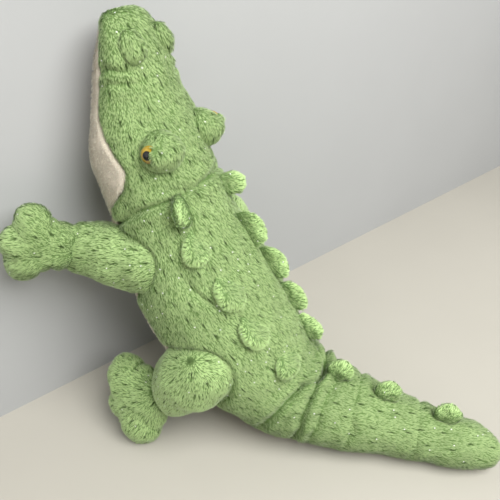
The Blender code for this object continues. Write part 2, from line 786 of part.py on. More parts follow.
def paw_rings(frame, length, breadth, thickness, wrist):
    """Rings of a paw with three round toes and a flat wrist, from its underside to its top."""
    centre = PALM_SHARE * length
    circles = [((0.0, 0.0), PALM_RADIUS_SHARE * breadth)]
    toe_radius = TOE_RADIUS_SHARE * breadth
    for toe_angle, reach_share in TOE_ANGLES_AND_SHARES:
        reach = (length - centre) * reach_share - toe_radius
        toe = radians(toe_angle)
        sideways = (breadth / 2 - toe_radius) * sin(toe) / sin(radians(TOE_SPREAD_ANGLE))
        circles.append(((reach * cos(toe), sideways), toe_radius))
    circles.append(((-centre, 0.0), wrist / 2))
    rings = []
    for reach, rise in paw_profile():
        ring = []
        for i in range(PAW_SIDES):
            angle = 2 * pi * i / PAW_SIDES
            radius = outline_radius(circles, angle) * reach
            ahead = max(centre + radius * cos(angle), SEAM_GAP)
            ring.append(frame @ Vector((ahead, radius * sin(angle), thickness / 2 * rise)))
        rings.append(ring)
    return rings


def pressed(ring):
    """A ring of points, pressed flat where it would go under the ground."""
    return [Vector((spot.x, spot.y, max(spot.z, 0.0))) for spot in ring]


def paw(frame, length, breadth, thickness, wrist):
    """A paw pressed flat where it rests on the ground."""
    rings = [pressed(ring) for ring in paw_rings(frame, length, breadth, thickness, wrist)]
    bottom = frame @ Vector((PALM_SHARE * length, 0.0, -thickness / 2))
    top = frame @ Vector((PALM_SHARE * length, 0.0, thickness / 2))
    return loft(rings, bottom, top)


def paw_profile():
    """How far out and how high each ring of a paw lies, from its underside to its top."""
    below = [(reach, -sqrt(1 - reach ** PUFF)) for reach in PAW_RING_SHARES]
    above = [(reach, sqrt(1 - reach ** PUFF)) for reach in reversed(PAW_RING_SHARES)]
    return below + [(1.0, 0.0)] + above


def outline_radius(circles, angle):
    """How far a line from the middle goes before it leaves the last of the circles round it."""
    radius = 0.0
    for (x, y), size in circles:
        ahead = x * cos(angle) + y * sin(angle)
        aside = x * sin(angle) - y * cos(angle)
        if abs(aside) < size:
            radius = max(radius, ahead + sqrt(size * size - aside * aside))
    return radius


def arm(body, way, turns, lifts, roll):
    """An arm on the left (1) or the right (-1)."""
    root = body.point(torso_place(ARM_SHARE), radians(ARM_ANGLE) * way, ARM_SINK)
    widths = [(share, ARM_WIDTH * part) for share, part in ARM_WIDTH_SHARES] + [(1.0, WRIST_WIDTH)]
    depths = [(share, ARM_WIDTH * ARM_DEPTH_SHARE * part) for share, part in ARM_WIDTH_SHARES]
    depths.append((1.0, WRIST_WIDTH * WRIST_DEPTH_SHARE))
    return Limb(root, ARM_LENGTH, turns, lifts, roll, widths, depths)


def leg(body, way, turns, drop, roll):
    """A leg on the left (1) or the right (-1), swung down by an angle."""
    root = body.point(torso_place(LEG_SHARE), radians(LEG_ANGLE) * way, LEG_SINK)
    lifts = [(share, lift - drop) for share, lift in LEG_LIFT_ANGLES]
    widths = [(share, THIGH_WIDTH * part) for share, part in LEG_WIDTH_SHARES] + [(1.0, ANKLE_WIDTH)]
    depths = [(share, THIGH_WIDTH * LEG_DEPTH_SHARE * part) for share, part in LEG_WIDTH_SHARES]
    depths.append((1.0, ANKLE_WIDTH * ANKLE_DEPTH_SHARE))
    return Limb(root, LEG_LENGTH, turns, lifts, roll, widths, depths)


def standing_leg(body, way, turns, roll):
    """The leg whose foot just presses on the ground."""
    raised = -MOST_DROP_ANGLE
    lowered = MOST_DROP_ANGLE
    for step in range(SEARCH_STEPS):
        drop = (raised + lowered) / 2
        limb = leg(body, way, turns, drop, roll)
        rings = paw_rings(limb.end(), FOOT_LENGTH, FOOT_BREADTH, FOOT_THICKNESS, ANKLE_WIDTH)
        if min(spot.z for ring in rings for spot in ring) > -PRESS_DEPTH:
            raised = drop
        else:
            lowered = drop
    return limb


def eye_frame(body, way):
    """The seat of an eye on the outer side of its brow: Z looks out."""
    place = head_place(BROW_SHARE)
    angle = radians(BROW_ANGLE) * way
    rise = radians(EYE_LIFT_ANGLE)
    turn = radians(EYE_FORWARD_ANGLE)
    across = BROW_BREADTH / 2 * cos(rise) * cos(turn) * way
    ahead = BROW_LENGTH / 2 * cos(rise) * sin(turn)
    spot = surface_spot(body, place, angle, ahead, across, SEAT_GAP + BROW_HEIGHT * sin(rise))
    normal = body.normal(place, angle)
    forward = body.path.at(place)[1]
    outward = (normal.cross(forward) * cos(turn) * way + forward * sin(turn)).normalized()
    slope = BROW_HEIGHT / (BROW_BREADTH / 2)
    look = (outward * cos(rise) * slope + normal * sin(rise)).normalized()
    forward = (forward - look * forward.dot(look)).normalized()
    axes = Matrix((forward, look.cross(forward), look)).transposed().to_4x4()
    return Matrix.Translation(spot - look * EYE_SEAT_DEPTH) @ axes


def eye_profile():
    """An eye's shank, its rim, and its dome up to the flat that carries the pupil."""
    profile = [(SHANK_DIAMETER / 2, -SHANK_LENGTH), (SHANK_DIAMETER / 2, 0.0), (EYE_DIAMETER / 2, 0.0)]
    top = PUPIL_DIAMETER / 2 * PUPIL_SEAT_SHARE
    for i in range(EYE_ROWS + 1):
        radius = EYE_DIAMETER / 2 + (top - EYE_DIAMETER / 2) * i / EYE_ROWS
        profile.append((radius, eye_height(radius)))
    return profile


def eye_height(radius):
    """The height of an eye's dome at a distance from its middle."""
    return EYE_RIM + (EYE_HEIGHT - EYE_RIM) * sqrt(1 - (2 * radius / EYE_DIAMETER) ** 2)


def pupil_profile():
    """A black lens that sits a hair over the flat of the eye's dome."""
    low = eye_height(PUPIL_DIAMETER / 2 * PUPIL_SEAT_SHARE) + SEAM_GAP
    profile = [(PUPIL_DIAMETER / 2, low)]
    for share, rise in PUPIL_PROFILE_SHARES:
        profile.append((PUPIL_DIAMETER / 2 * share, low + PUPIL_HEIGHT * rise))
    return profile


def eye_pocket_profile():
    """The seat, bore and washer pocket that an eye needs in its brow."""
    bore = SHANK_DIAMETER / 2 + SEAM_GAP
    pocket = WASHER_DIAMETER / 2 + SEAM_GAP
    low = -WASHER_DEPTH - WASHER_THICKNESS - SEAM_GAP
    high = -WASHER_DEPTH + SEAM_GAP
    seat = EYE_DIAMETER / 2 + SEAM_GAP
    return [(bore, -SHANK_LENGTH - SEAM_GAP), (bore, low), (pocket, low), (pocket, high), (bore, high),
            (bore, -SEAM_GAP), (seat, -SEAM_GAP), (seat, BROW_HEIGHT)]


def add_cutter(name, solid, pivot):
    cutter = add(name, solid, PUPIL_BLACK, FUR_ROUGHNESS, pivot)
    cutter.hide_render = True
    cutter.display_type = "WIRE"
    return cutter


def cut_by(thing, cutter):
    cut = thing.modifiers.new("cut", "BOOLEAN")
    cut.object = cutter
    cut.operation = "DIFFERENCE"
    cut.solver = "EXACT"


def add_eye(body, side, way, pivot):
    """A brow with its eye, pupil and the washer that holds the eye's shank inside."""
    place = head_place(BROW_SHARE)
    angle = radians(BROW_ANGLE) * way
    mound = dome(body, place, angle, BROW_LENGTH, BROW_BREADTH, BROW_HEIGHT)
    brow = add("brow_" + side, mound, FUR_GREEN, FUR_ROUGHNESS, pivot)
    seat = eye_frame(body, way)
    cut_by(brow, add_cutter("eye_pocket_" + side, turned(eye_pocket_profile(), seat, EYE_SIDES), pivot))
    add("eye_" + side, turned(eye_profile(), seat, EYE_SIDES), AMBER, GLOSS_ROUGHNESS, pivot)
    add("pupil_" + side, turned(pupil_profile(), seat, EYE_SIDES), PUPIL_BLACK, GLOSS_ROUGHNESS, pivot)
    ring = washer(SHANK_DIAMETER / 2 + SEAM_GAP, WASHER_DIAMETER / 2, -WASHER_DEPTH - WASHER_THICKNESS,
                  -WASHER_DEPTH, seat)
    add("eye_washer_" + side, ring, WASHER_WHITE, PLASTIC_ROUGHNESS, pivot)


def add_flap(body, name, place, angle, size, lean):
    length, height = size
    solid, pivot = flap(body, place, radians(angle), length, height, lean)
    add(name, solid, FUR_PALE, FUR_ROUGHNESS, pivot)


def add_flaps(body):
    """The paired flaps of neck and back, and the single flaps along the tail."""
    sides = (("left", 1, LEFT_FLAP_LEAN_ANGLE, LEFT_BACK_FLAP_SHARES),
             ("right", -1, RIGHT_FLAP_LEAN_ANGLE, RIGHT_BACK_FLAP_SHARES))
    for side, way, lean, shares in sides:
        size = (NECK_FLAP_LENGTH, NECK_FLAP_HEIGHT)
        add_flap(body, "neck_flap_" + side, torso_place(NECK_FLAP_SHARE), NECK_FLAP_ANGLE * way, size, lean)
        size = (BACK_FLAP_LENGTH, BACK_FLAP_HEIGHT)
        for i, (share, angle) in enumerate(zip(shares, BACK_FLAP_ANGLES)):
            name = "back_flap_" + side + "_" + str(i + 1)
            add_flap(body, name, torso_place(share), angle * way, size, lean)
    size = (TAIL_FLAP_LENGTH, TAIL_FLAP_HEIGHT)
    for i, share in enumerate(TAIL_FLAP_SHARES):
        add_flap(body, "tail_flap_" + str(i + 1), tail_place(share), 0.0, size, TAIL_FLAP_LEAN_ANGLE)


def add_limb(body, cutter, way, limb, names, paw_sizes, wrist):
    """A limb that swings out from the body, and its paw that bends up at the wrist or ankle."""
    limb_name, paw_name = names
    hinge = limb.hinge(body, way)
    cut_by(add(limb_name, limb.solid(), FUR_GREEN, FUR_ROUGHNESS, hinge), cutter)
    frame = limb.end()
    length, breadth, thickness = paw_sizes
    top = frame @ Vector((0.0, 0.0, thickness / 2))
    solid = paw(frame, length, breadth, thickness, wrist)
    add(paw_name, solid, FUR_GREEN, FUR_ROUGHNESS, pivot_at(top, -frame.col[1].to_3d()))


def centre_model():
    """Put the middle of the model's footprint at the origin, with the ground at height zero."""
    things = [thing for thing in bpy.data.objects if thing.type == "MESH"]
    spots = [thing.matrix_basis @ vertex.co for thing in things if not thing.hide_render
             for vertex in thing.data.vertices]
    middle = bpy.data.objects.new("crocodile_middle", None)
    bpy.context.collection.objects.link(middle)
    middle.location.x = -(min(spot.x for spot in spots) + max(spot.x for spot in spots)) / 2
    middle.location.y = -(min(spot.y for spot in spots) + max(spot.y for spot in spots)) / 2
    middle.location.z = -min(spot.z for spot in spots)
    for thing in things:
        thing.parent = middle


def build_crocodile():
    body = make_body()
    neck = Knuckle(body, torso_place(NECK_SHARE))
    waist = Knuckle(body, torso_place(WAIST_SHARE))
    bend = Knuckle(body, tail_place(TAIL_BEND_SHARE))
    still = Matrix.Identity(4)
    sections = (
        ("torso", "belly_panel", JointFace(waist, -1, 0.0, 0.0), JointFace(neck, 1, 0.0, 0.0),
         TORSO_ROW_SHARES, WHOLE_PANEL_SHARES, PANEL_THICKNESS, still),
        ("head", "jaw_panel", JointFace(neck, 1, JOINT_GAP, JOINT_RELIEF), Tip(head_place(1.0)),
         HEAD_ROW_SHARES, HEAD_PANEL_SHARES, JAW_THICKNESS, pivot_at(neck.centre, neck.side)),
        ("tail_base", "tail_base_panel", JointFace(bend, -1, 0.0, 0.0),
         JointFace(waist, -1, JOINT_GAP, JOINT_RELIEF),
         TAIL_BASE_ROW_SHARES, WHOLE_PANEL_SHARES, PANEL_THICKNESS, pivot_at(waist.centre, waist.side)),
        ("tail_tip", "tail_tip_panel", Tip(0.0), JointFace(bend, -1, JOINT_GAP, JOINT_RELIEF),
         TAIL_TIP_ROW_SHARES, TAIL_TIP_PANEL_SHARES, PANEL_THICKNESS, pivot_at(bend.centre, bend.side)))
    for bag_name, panel_name, start, end, rows, panel_rows, thickness, pivot in sections:
        section = Section(body, start, end, rows, panel_rows, thickness)
        add(bag_name, section.bag(), FUR_GREEN, FUR_ROUGHNESS, pivot)
        add(panel_name, section.panel(), PLUSH_CREAM, PLUSH_ROUGHNESS, pivot)
    start, end, rows, panel_rows, thickness, pivot = sections[0][2:]
    skin = Section(body, start, end, rows, panel_rows, thickness)
    cutter = add_cutter("torso_skin", skin.cutter(), still)
    head_pivot = pivot_at(neck.centre, neck.side)
    for side, way in (("left", 1), ("right", -1)):
        add_eye(body, side, way, head_pivot)
        mound = dome(body, head_place(NOSTRIL_SHARE), radians(NOSTRIL_ANGLE) * way, NOSTRIL_LENGTH,
                     NOSTRIL_BREADTH, NOSTRIL_HEIGHT)
        add("nostril_" + side, mound, FUR_GREEN, FUR_ROUGHNESS, head_pivot)
    add_flaps(body)
    hand = (HAND_LENGTH, HAND_BREADTH, HAND_THICKNESS)
    foot = (FOOT_LENGTH, FOOT_BREADTH, FOOT_THICKNESS)
    left_arm = arm(body, 1, LEFT_ARM_TURN_ANGLES, LEFT_ARM_LIFT_ANGLES, LEFT_HAND_ROLL_ANGLE)
    right_arm = arm(body, -1, RIGHT_ARM_TURN_ANGLES, RIGHT_ARM_LIFT_ANGLES, RIGHT_HAND_ROLL_ANGLE)
    add_limb(body, cutter, 1, left_arm, ("arm_left", "hand_left"), hand, WRIST_WIDTH)
    add_limb(body, cutter, -1, right_arm, ("arm_right", "hand_right"), hand, WRIST_WIDTH)
    left_leg = standing_leg(body, 1, LEFT_LEG_TURN_ANGLES, LEFT_FOOT_ROLL_ANGLE)
    right_leg = standing_leg(body, -1, RIGHT_LEG_TURN_ANGLES, RIGHT_FOOT_ROLL_ANGLE)
    add_limb(body, cutter, 1, left_leg, ("leg_left", "foot_left"), foot, ANKLE_WIDTH)
    add_limb(body, cutter, -1, right_leg, ("leg_right", "foot_right"), foot, ANKLE_WIDTH)
    centre_model()


build_crocodile()
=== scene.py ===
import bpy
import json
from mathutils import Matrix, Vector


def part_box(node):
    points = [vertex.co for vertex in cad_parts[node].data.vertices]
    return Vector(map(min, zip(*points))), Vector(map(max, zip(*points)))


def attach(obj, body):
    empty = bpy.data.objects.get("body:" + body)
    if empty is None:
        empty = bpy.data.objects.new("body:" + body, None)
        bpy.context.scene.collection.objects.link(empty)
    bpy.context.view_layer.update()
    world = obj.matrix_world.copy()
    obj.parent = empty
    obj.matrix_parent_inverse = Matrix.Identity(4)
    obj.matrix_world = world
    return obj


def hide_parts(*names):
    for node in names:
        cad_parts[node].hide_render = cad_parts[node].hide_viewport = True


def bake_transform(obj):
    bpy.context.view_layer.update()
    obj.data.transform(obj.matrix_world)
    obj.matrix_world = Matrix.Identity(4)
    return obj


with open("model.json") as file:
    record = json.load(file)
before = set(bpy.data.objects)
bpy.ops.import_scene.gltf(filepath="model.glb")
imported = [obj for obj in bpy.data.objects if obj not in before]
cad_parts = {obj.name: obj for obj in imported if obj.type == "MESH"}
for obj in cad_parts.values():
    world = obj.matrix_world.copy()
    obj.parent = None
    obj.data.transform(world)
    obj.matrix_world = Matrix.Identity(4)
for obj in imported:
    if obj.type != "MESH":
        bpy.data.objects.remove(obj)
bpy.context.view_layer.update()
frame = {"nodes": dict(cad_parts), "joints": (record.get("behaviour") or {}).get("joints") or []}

import json

import bpy
from mathutils import Matrix, Vector
from mathutils.kdtree import KDTree
import numpy as np

TAIL, TORSO, HEAD = 0.264, 0.332, 0.215
LENGTH = TAIL + TORSO + HEAD
STEPS = 240
PRESS = 0.002            # how deep the filling gives where the toy rests
FINE = 0.0023            # between two rows of a skin
OFF_GROUND = 0.0006      # least height of a green skin
PIT_LONG, PIT_WIDE, PIT_DEEP = 0.0034, 0.0011, 0.008
PIT_GAP = 0.0178
FLECK = 0.0011           # half the length of a white fleck
MOST_FIBRES = 66000      # three faces each, and the exported mesh keeps up to 200,000 faces
BEND = 0.55              # how far along a fibre it bends


def curve(pairs):
    """A smooth curve through (place, value) pairs that never overshoots them."""
    x = np.array([p[0] for p in pairs], float)
    y = np.array([p[1] for p in pairs], float)
    gap = np.diff(x)
    slope = np.diff(y) / gap
    tangent = np.zeros(len(x))
    tangent[0], tangent[-1] = slope[0], slope[-1]
    for i in range(1, len(x) - 1):
        if slope[i - 1] * slope[i] > 0:
            before, after = 2 * gap[i] + gap[i - 1], gap[i] + 2 * gap[i - 1]
            tangent[i] = (before + after) / (before / slope[i - 1] + after / slope[i])

    def at(place):
        place = np.clip(np.asarray(place, float), x[0], x[-1])
        i = np.clip(np.searchsorted(x, place, side="left") - 1, 0, len(gap) - 1)
        t = (place - x[i]) / gap[i]
        rise = (1 + 2 * t) * (1 - t) ** 2 * y[i] + t * t * (3 - 2 * t) * y[i + 1]
        return rise + gap[i] * (t * (1 - t) ** 2 * tangent[i] - t * t * (1 - t) * tangent[i + 1])

    return at


def spine(tail, torso, head):
    """One table of (place, value) from tables of shares of the tail, torso and head."""
    return ([(s * TAIL, v) for s, v in tail] + [(TAIL + s * TORSO, v) for s, v in torso]
            + [(TAIL + TORSO + s * HEAD, v) for s, v in head])


def unit(v):
    return v / np.maximum(np.linalg.norm(v, axis=-1, keepdims=True), 1e-12)


def direction(azimuth, lift):
    a, e = np.radians(azimuth), np.radians(lift)
    return np.stack([np.cos(e) * np.cos(a), np.cos(e) * np.sin(a), np.sin(e)], -1)


class Form:
    """An oval body round a bent centreline. Angles run from its back to its left side."""

    def __init__(self, start, length, azimuth, lift, roll, width, depth):
        self.length, self.width, self.depth = length, width, depth
        self.grid = np.linspace(0, length, STEPS + 1)
        self.forward = direction(azimuth(self.grid), lift(self.grid))
        side = direction(azimuth(self.grid) + 90.0, 0 * self.grid)
        turn = np.radians(roll(self.grid))[:, None]
        self.side = side * np.cos(turn) + np.cross(self.forward, side) * np.sin(turn)
        self.up = np.cross(self.forward, self.side)
        step = (self.forward[1:] + self.forward[:-1]) / 2 * (length / STEPS)
        self.centre = np.asarray(start, float) + np.vstack([np.zeros(3), np.cumsum(step, 0)])

    def axes(self, place):
        place = np.asarray(place, float)
        inside = np.clip(place, 0, self.length)
        i = np.minimum((inside / self.length * STEPS).astype(int), STEPS - 1)
        t = (inside / self.length * STEPS - i)[..., None]
        mix = [a[i] * (1 - t) + a[i + 1] * t for a in (self.centre, self.forward, self.side, self.up)]
        centre, forward, side, up = mix[0], unit(mix[1]), unit(mix[2]), unit(mix[3])
        return centre + forward * (place - inside)[..., None], forward, side, up

    def point(self, place, angle, out=0.0):
        centre, forward, side, up = self.axes(place)
        wide = np.maximum(self.width(place) / 2 + out, 0)[..., None]
        deep = np.maximum(self.depth(place) / 2 + out, 0)[..., None]
        return centre + side * wide * np.sin(angle)[..., None] + up * deep * np.cos(angle)[..., None]

    def normal(self, place, angle):
        centre, forward, side, up = self.axes(place)
        wide = np.maximum(self.width(place), 1e-5)[..., None]
        deep = np.maximum(self.depth(place), 1e-5)[..., None]
        return unit(side * (np.sin(angle)[..., None] / wide) + up * (np.cos(angle)[..., None] / deep))


WIDTH = curve(spine(
    ((0.0, 0.0), (0.05, 0.037), (0.167, 0.062), (0.333, 0.074), (0.6, 0.0955), (0.867, 0.123)),
    ((0.048, 0.144), (0.202, 0.170), (0.357, 0.189), (0.561, 0.193), (0.716, 0.186), (0.87, 0.163)),
    ((0.04, 0.155), (0.29, 0.154), (0.624, 0.116), (0.833, 0.100), (0.937, 0.080), (0.985, 0.050),
     (1.0, 0.0))))
FLATNESS = curve(spine(((0.0, 1.0), (0.333, 0.88), (0.833, 0.82)),
                       ((0.25, 0.80), (0.716, 0.80), (0.9, 0.82)),
                       ((0.2, 0.80), (0.624, 0.74), (1.0, 0.74))))
TURN = curve(spine(((0.0, 0.0), (0.6, 0.0), (0.867, 2.0)),
                   ((0.152, 5.0), (0.306, 7.5), (0.561, 14.0), (0.819, 20.0)),
                   ((0.12, 19.0), (1.0, 19.0))))
LIFT = curve(spine(((0.0, 3.5), (0.15, 5.0), (0.333, 5.4), (0.6, 7.0), (0.867, 9.0)),
                   ((0.0, 14.0), (0.152, 36.5), (0.306, 51.0), (0.561, 57.5), (0.819, 64.0)),
                   ((0.12, 69.0), (0.54, 81.0), (1.0, 68.0))))
ROLL = curve(spine((), ((0.85, 0.0), (0.95, 4.0)), ((0.1, 8.0), (1.0, 8.0))))
EDGE = curve(spine(((0.0, 142.0), (0.867, 140.0)), ((0.1, 134.0), (0.5, 125.0), (0.9, 119.0)),
                   ((0.0, 119.0), (0.06, 117.0), (0.12, 97.0), (0.18, 80.0), (0.26, 73.0), (0.34, 78.0),
                    (0.46, 92.0), (0.6, 103.0), (0.8, 98.0), (1.0, 84.0))))


def body_depth(place):
    return WIDTH(place) * FLATNESS(place)


def make_body(x, y):
    def build(start):
        return Form(start, LENGTH, lambda p: -90.0 - TURN(p), LIFT, ROLL, WIDTH, body_depth)

    flat = build((x, y, 0.0))
    low = flat.point(flat.grid[:-1], np.full(STEPS, np.pi))[:, 2].min()
    return build((x, y, -PRESS - low))


def smooth(t):
    t = np.clip(t, 0.0, 1.0)
    return t * t * (3 - 2 * t)


def bump(x, middle, width):
    return np.exp(-(((x - middle) / width) ** 2))


def lumps(points, scale, seed):
    """Soft random values, about -1 to 1, at points in space."""
    rng = np.random.default_rng(seed)
    flat = points.reshape(-1, 3)
    total = np.zeros(len(flat))
    for k in range(7):
        way = unit(rng.normal(size=3)) * 2 * np.pi / (scale * rng.uniform(0.7, 1.5))
        bend = unit(rng.normal(size=3)) * 2 * np.pi / (scale * 1.7)
        total += np.sin(flat @ way + 1.4 * np.sin(flat @ bend + rng.uniform(0, 6)) + rng.uniform(0, 6))
    return (total / 3.2).reshape(points.shape[:-1])


def turned_from_back(angle):
    """How many degrees an angle lies from the back, either way round."""
    return np.abs((np.degrees(angle) + 180) % 360 - 180)


def once_round(rows, columns):
    """A grid of rows against angles that go once round."""
    return np.meshgrid(rows, np.arange(columns) / columns * 2 * np.pi, indexing="ij")


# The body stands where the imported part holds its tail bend
pivot = {joint["name"]: np.array(joint["pos_m"]) for joint in frame["joints"]}
BEND_PLACE, WAIST_PLACE, NECK_PLACE = 0.47 * TAIL, TAIL + 0.053 * TORSO, TAIL + 0.958 * TORSO
SHIFT = pivot["tail_bend"] - make_body(0.0, 0.0).axes(BEND_PLACE)[0]
body = make_body(SHIFT[0], SHIFT[1])
HEAD_START = TAIL + TORSO


def fill_of(form, points, margin=0.0):
    """Below 1 inside a form, above 1 outside it."""
    near = np.argmin(((points[:, None, :] - form.centre[None]) ** 2).sum(-1), axis=1)
    ahead = ((points - form.centre[near]) * form.forward[near]).sum(-1)
    place = form.grid[near] + ahead
    centre, forward, side, up = form.axes(place)
    away = points - centre
    wide, deep = form.width(place) / 2 + margin, form.depth(place) / 2 + margin
    return np.hypot((away * side).sum(-1) / wide, (away * up).sum(-1) / deep)


# ---------------------------------------------------------------- meshes
def placed(name, data):
    thing = bpy.data.objects.new(name, data)
    bpy.context.scene.collection.objects.link(thing)
    return thing


def make_mesh(name, points, triangles, maps, normals=None, values=None):
    """A mesh object from arrays: triangles, one UV map, custom normals and values at points."""
    mesh = bpy.data.meshes.new(name)
    corners = np.ascontiguousarray(triangles, np.int32).ravel()
    mesh.vertices.add(len(points))
    mesh.vertices.foreach_set("co", np.asarray(points, np.float32).ravel())
    mesh.loops.add(len(corners))
    mesh.loops.foreach_set("vertex_index", corners)
    mesh.polygons.add(len(triangles))
    mesh.polygons.foreach_set("loop_start", np.arange(0, len(corners), 3, dtype=np.int32))
    mesh.update(calc_edges=True)
    mesh.shade_smooth()
    mesh.uv_layers.new(name="OFBake").data.foreach_set("uv", maps[corners].astype(np.float32).ravel())
    for key, value in (values or {}).items():
        mesh.attributes.new(key, "FLOAT", "POINT").data.foreach_set("value", np.asarray(value, np.float32))
    if normals is not None:
        mesh.normals_split_custom_set_from_vertices(normals.astype(np.float32).tolist())
    return placed(name, mesh)


def point_normals(points, triangles):
    a, b, c = (points[triangles[:, k]] for k in range(3))
    face = np.cross(b - a, c - a)
    total = np.zeros_like(points)
    for k in range(3):
        np.add.at(total, triangles[:, k], face)
    return unit(total)


class Skin:
    """A closed stuffed skin through rows of points, with what its pile needs at each point."""

    def __init__(self, points, comb, grow=1.0, pit=0.0):
        rows, columns = points.shape[:2]
        last = (rows - 1) * columns
        count = rows * columns
        ends = np.stack([points[0].mean(0), points[-1].mean(0)])
        self.points = np.vstack([points.reshape(-1, 3), ends])
        i, j = np.meshgrid(np.arange(rows - 1), np.arange(columns), indexing="ij")
        k = (j + 1) % columns
        a, b, c, d = i * columns + j, i * columns + k, (i + 1) * columns + k, (i + 1) * columns + j
        self.grid = np.concatenate([np.stack([a, b, c], -1).reshape(-1, 3),
                                    np.stack([a, c, d], -1).reshape(-1, 3)])
        j = np.arange(columns)
        k = (j + 1) % columns
        caps = [np.stack([k, j, np.full_like(j, count)], -1),
                np.stack([last + j, last + k, np.full_like(j, count + 1)], -1)]
        self.triangles = np.concatenate([self.grid] + caps)
        p = self.points[self.triangles]
        if np.einsum("ij,ij->i", p[:, 0], np.cross(p[:, 1], p[:, 2])).sum() < 0:
            self.grid, self.triangles = self.grid[:, ::-1], self.triangles[:, ::-1]
        self.normals = point_normals(self.points, self.triangles)
        u, v = np.meshgrid(np.linspace(0.02, 0.98, rows), np.linspace(0.02, 0.98, columns), indexing="ij")
        self.maps = np.vstack([np.stack([u, v], -1).reshape(-1, 2), [[0.005, 0.5], [0.995, 0.5]]])
        self.comb = self.full(comb)
        self.grow = self.full(np.broadcast_to(grow, (rows, columns)))
        self.long = np.ones(len(self.points))
        self.tone = np.zeros(len(self.points))
        self.pits = None
        self.whorl = None
        self.pitted = 1.0

    def flat_comb(self):
        return unit(self.comb - self.normals * (self.comb * self.normals).sum(1)[:, None])

    def dimple(self, gap, seed):
        """Choose the places of the small pits, which get painted shade, and how near each point of the skin is to
        one.
        """
        rng = np.random.default_rng(seed)
        grown = np.flatnonzero((self.grow > 0.5) & (rng.random(len(self.grow)) < self.pitted))
        some = rng.choice(grown, min(len(grown), int(self.grown_area() / gap ** 2 * 6)), replace=False)
        self.pits = spread(self.points[some], gap, rng)
        if self.whorl is not None:
            self.pits = np.vstack([self.pits, self.whorl])
        return pit_ring(self.pits, self.points, self.flat_comb(), self.normals)

    def full(self, values):
        """Values at the points of the grid, and zeros at the two middles of its ends."""
        flat = np.asarray(values, float).reshape(len(self.points) - 2, -1)
        return np.squeeze(np.vstack([flat, np.zeros((2, flat.shape[1]))]))

    def area(self):
        p = self.points[self.grid]
        return np.linalg.norm(np.cross(p[:, 1] - p[:, 0], p[:, 2] - p[:, 0]), axis=1) / 2

    def scatter(self, count, rng):
        """Random spots over the skin where its pile grows: triangle and corner shares."""
        weight = self.area() * self.grow[self.grid].mean(1)
        pick = rng.choice(len(self.grid), count, p=weight / weight.sum())
        a, b = rng.random(count), rng.random(count)
        flip = a + b > 1
        a[flip], b[flip] = 1 - a[flip], 1 - b[flip]
        return self.grid[pick], np.stack([1 - a - b, a, b], -1)[..., None]

    def grown_area(self):
        return float((self.area() * self.grow[self.grid].mean(1)).sum())


def spread(points, gap, rng):
    """A seeded choice among points with at least a gap between any two."""
    kept = np.zeros((0, 3))
    for spot in points[rng.permutation(len(points))]:
        if len(kept) == 0 or ((kept - spot) ** 2).sum(1).min() > gap * gap:
            kept = np.vstack([kept, spot])
    return kept


def nearest(spots, points):
    """For each point, the index of the nearest spot."""
    tree = KDTree(len(spots))
    for i, spot in enumerate(spots.tolist()):
        tree.insert(spot, i)
    tree.balance()
    return np.array([tree.find(point)[1] for point in points.tolist()])


def pit_ring(pits, points, way, normal):
    """How far each point is from its nearest pit: 1 on the rim of that long narrow dimple."""
    delta = points - pits[nearest(pits, points)]
    ahead, aside, off = ((delta * axis).sum(1) for axis in (way, np.cross(normal, way), normal))
    return np.sqrt((ahead / PIT_LONG) ** 2 + (aside / PIT_WIDE) ** 2 + (off / PIT_DEEP) ** 2)


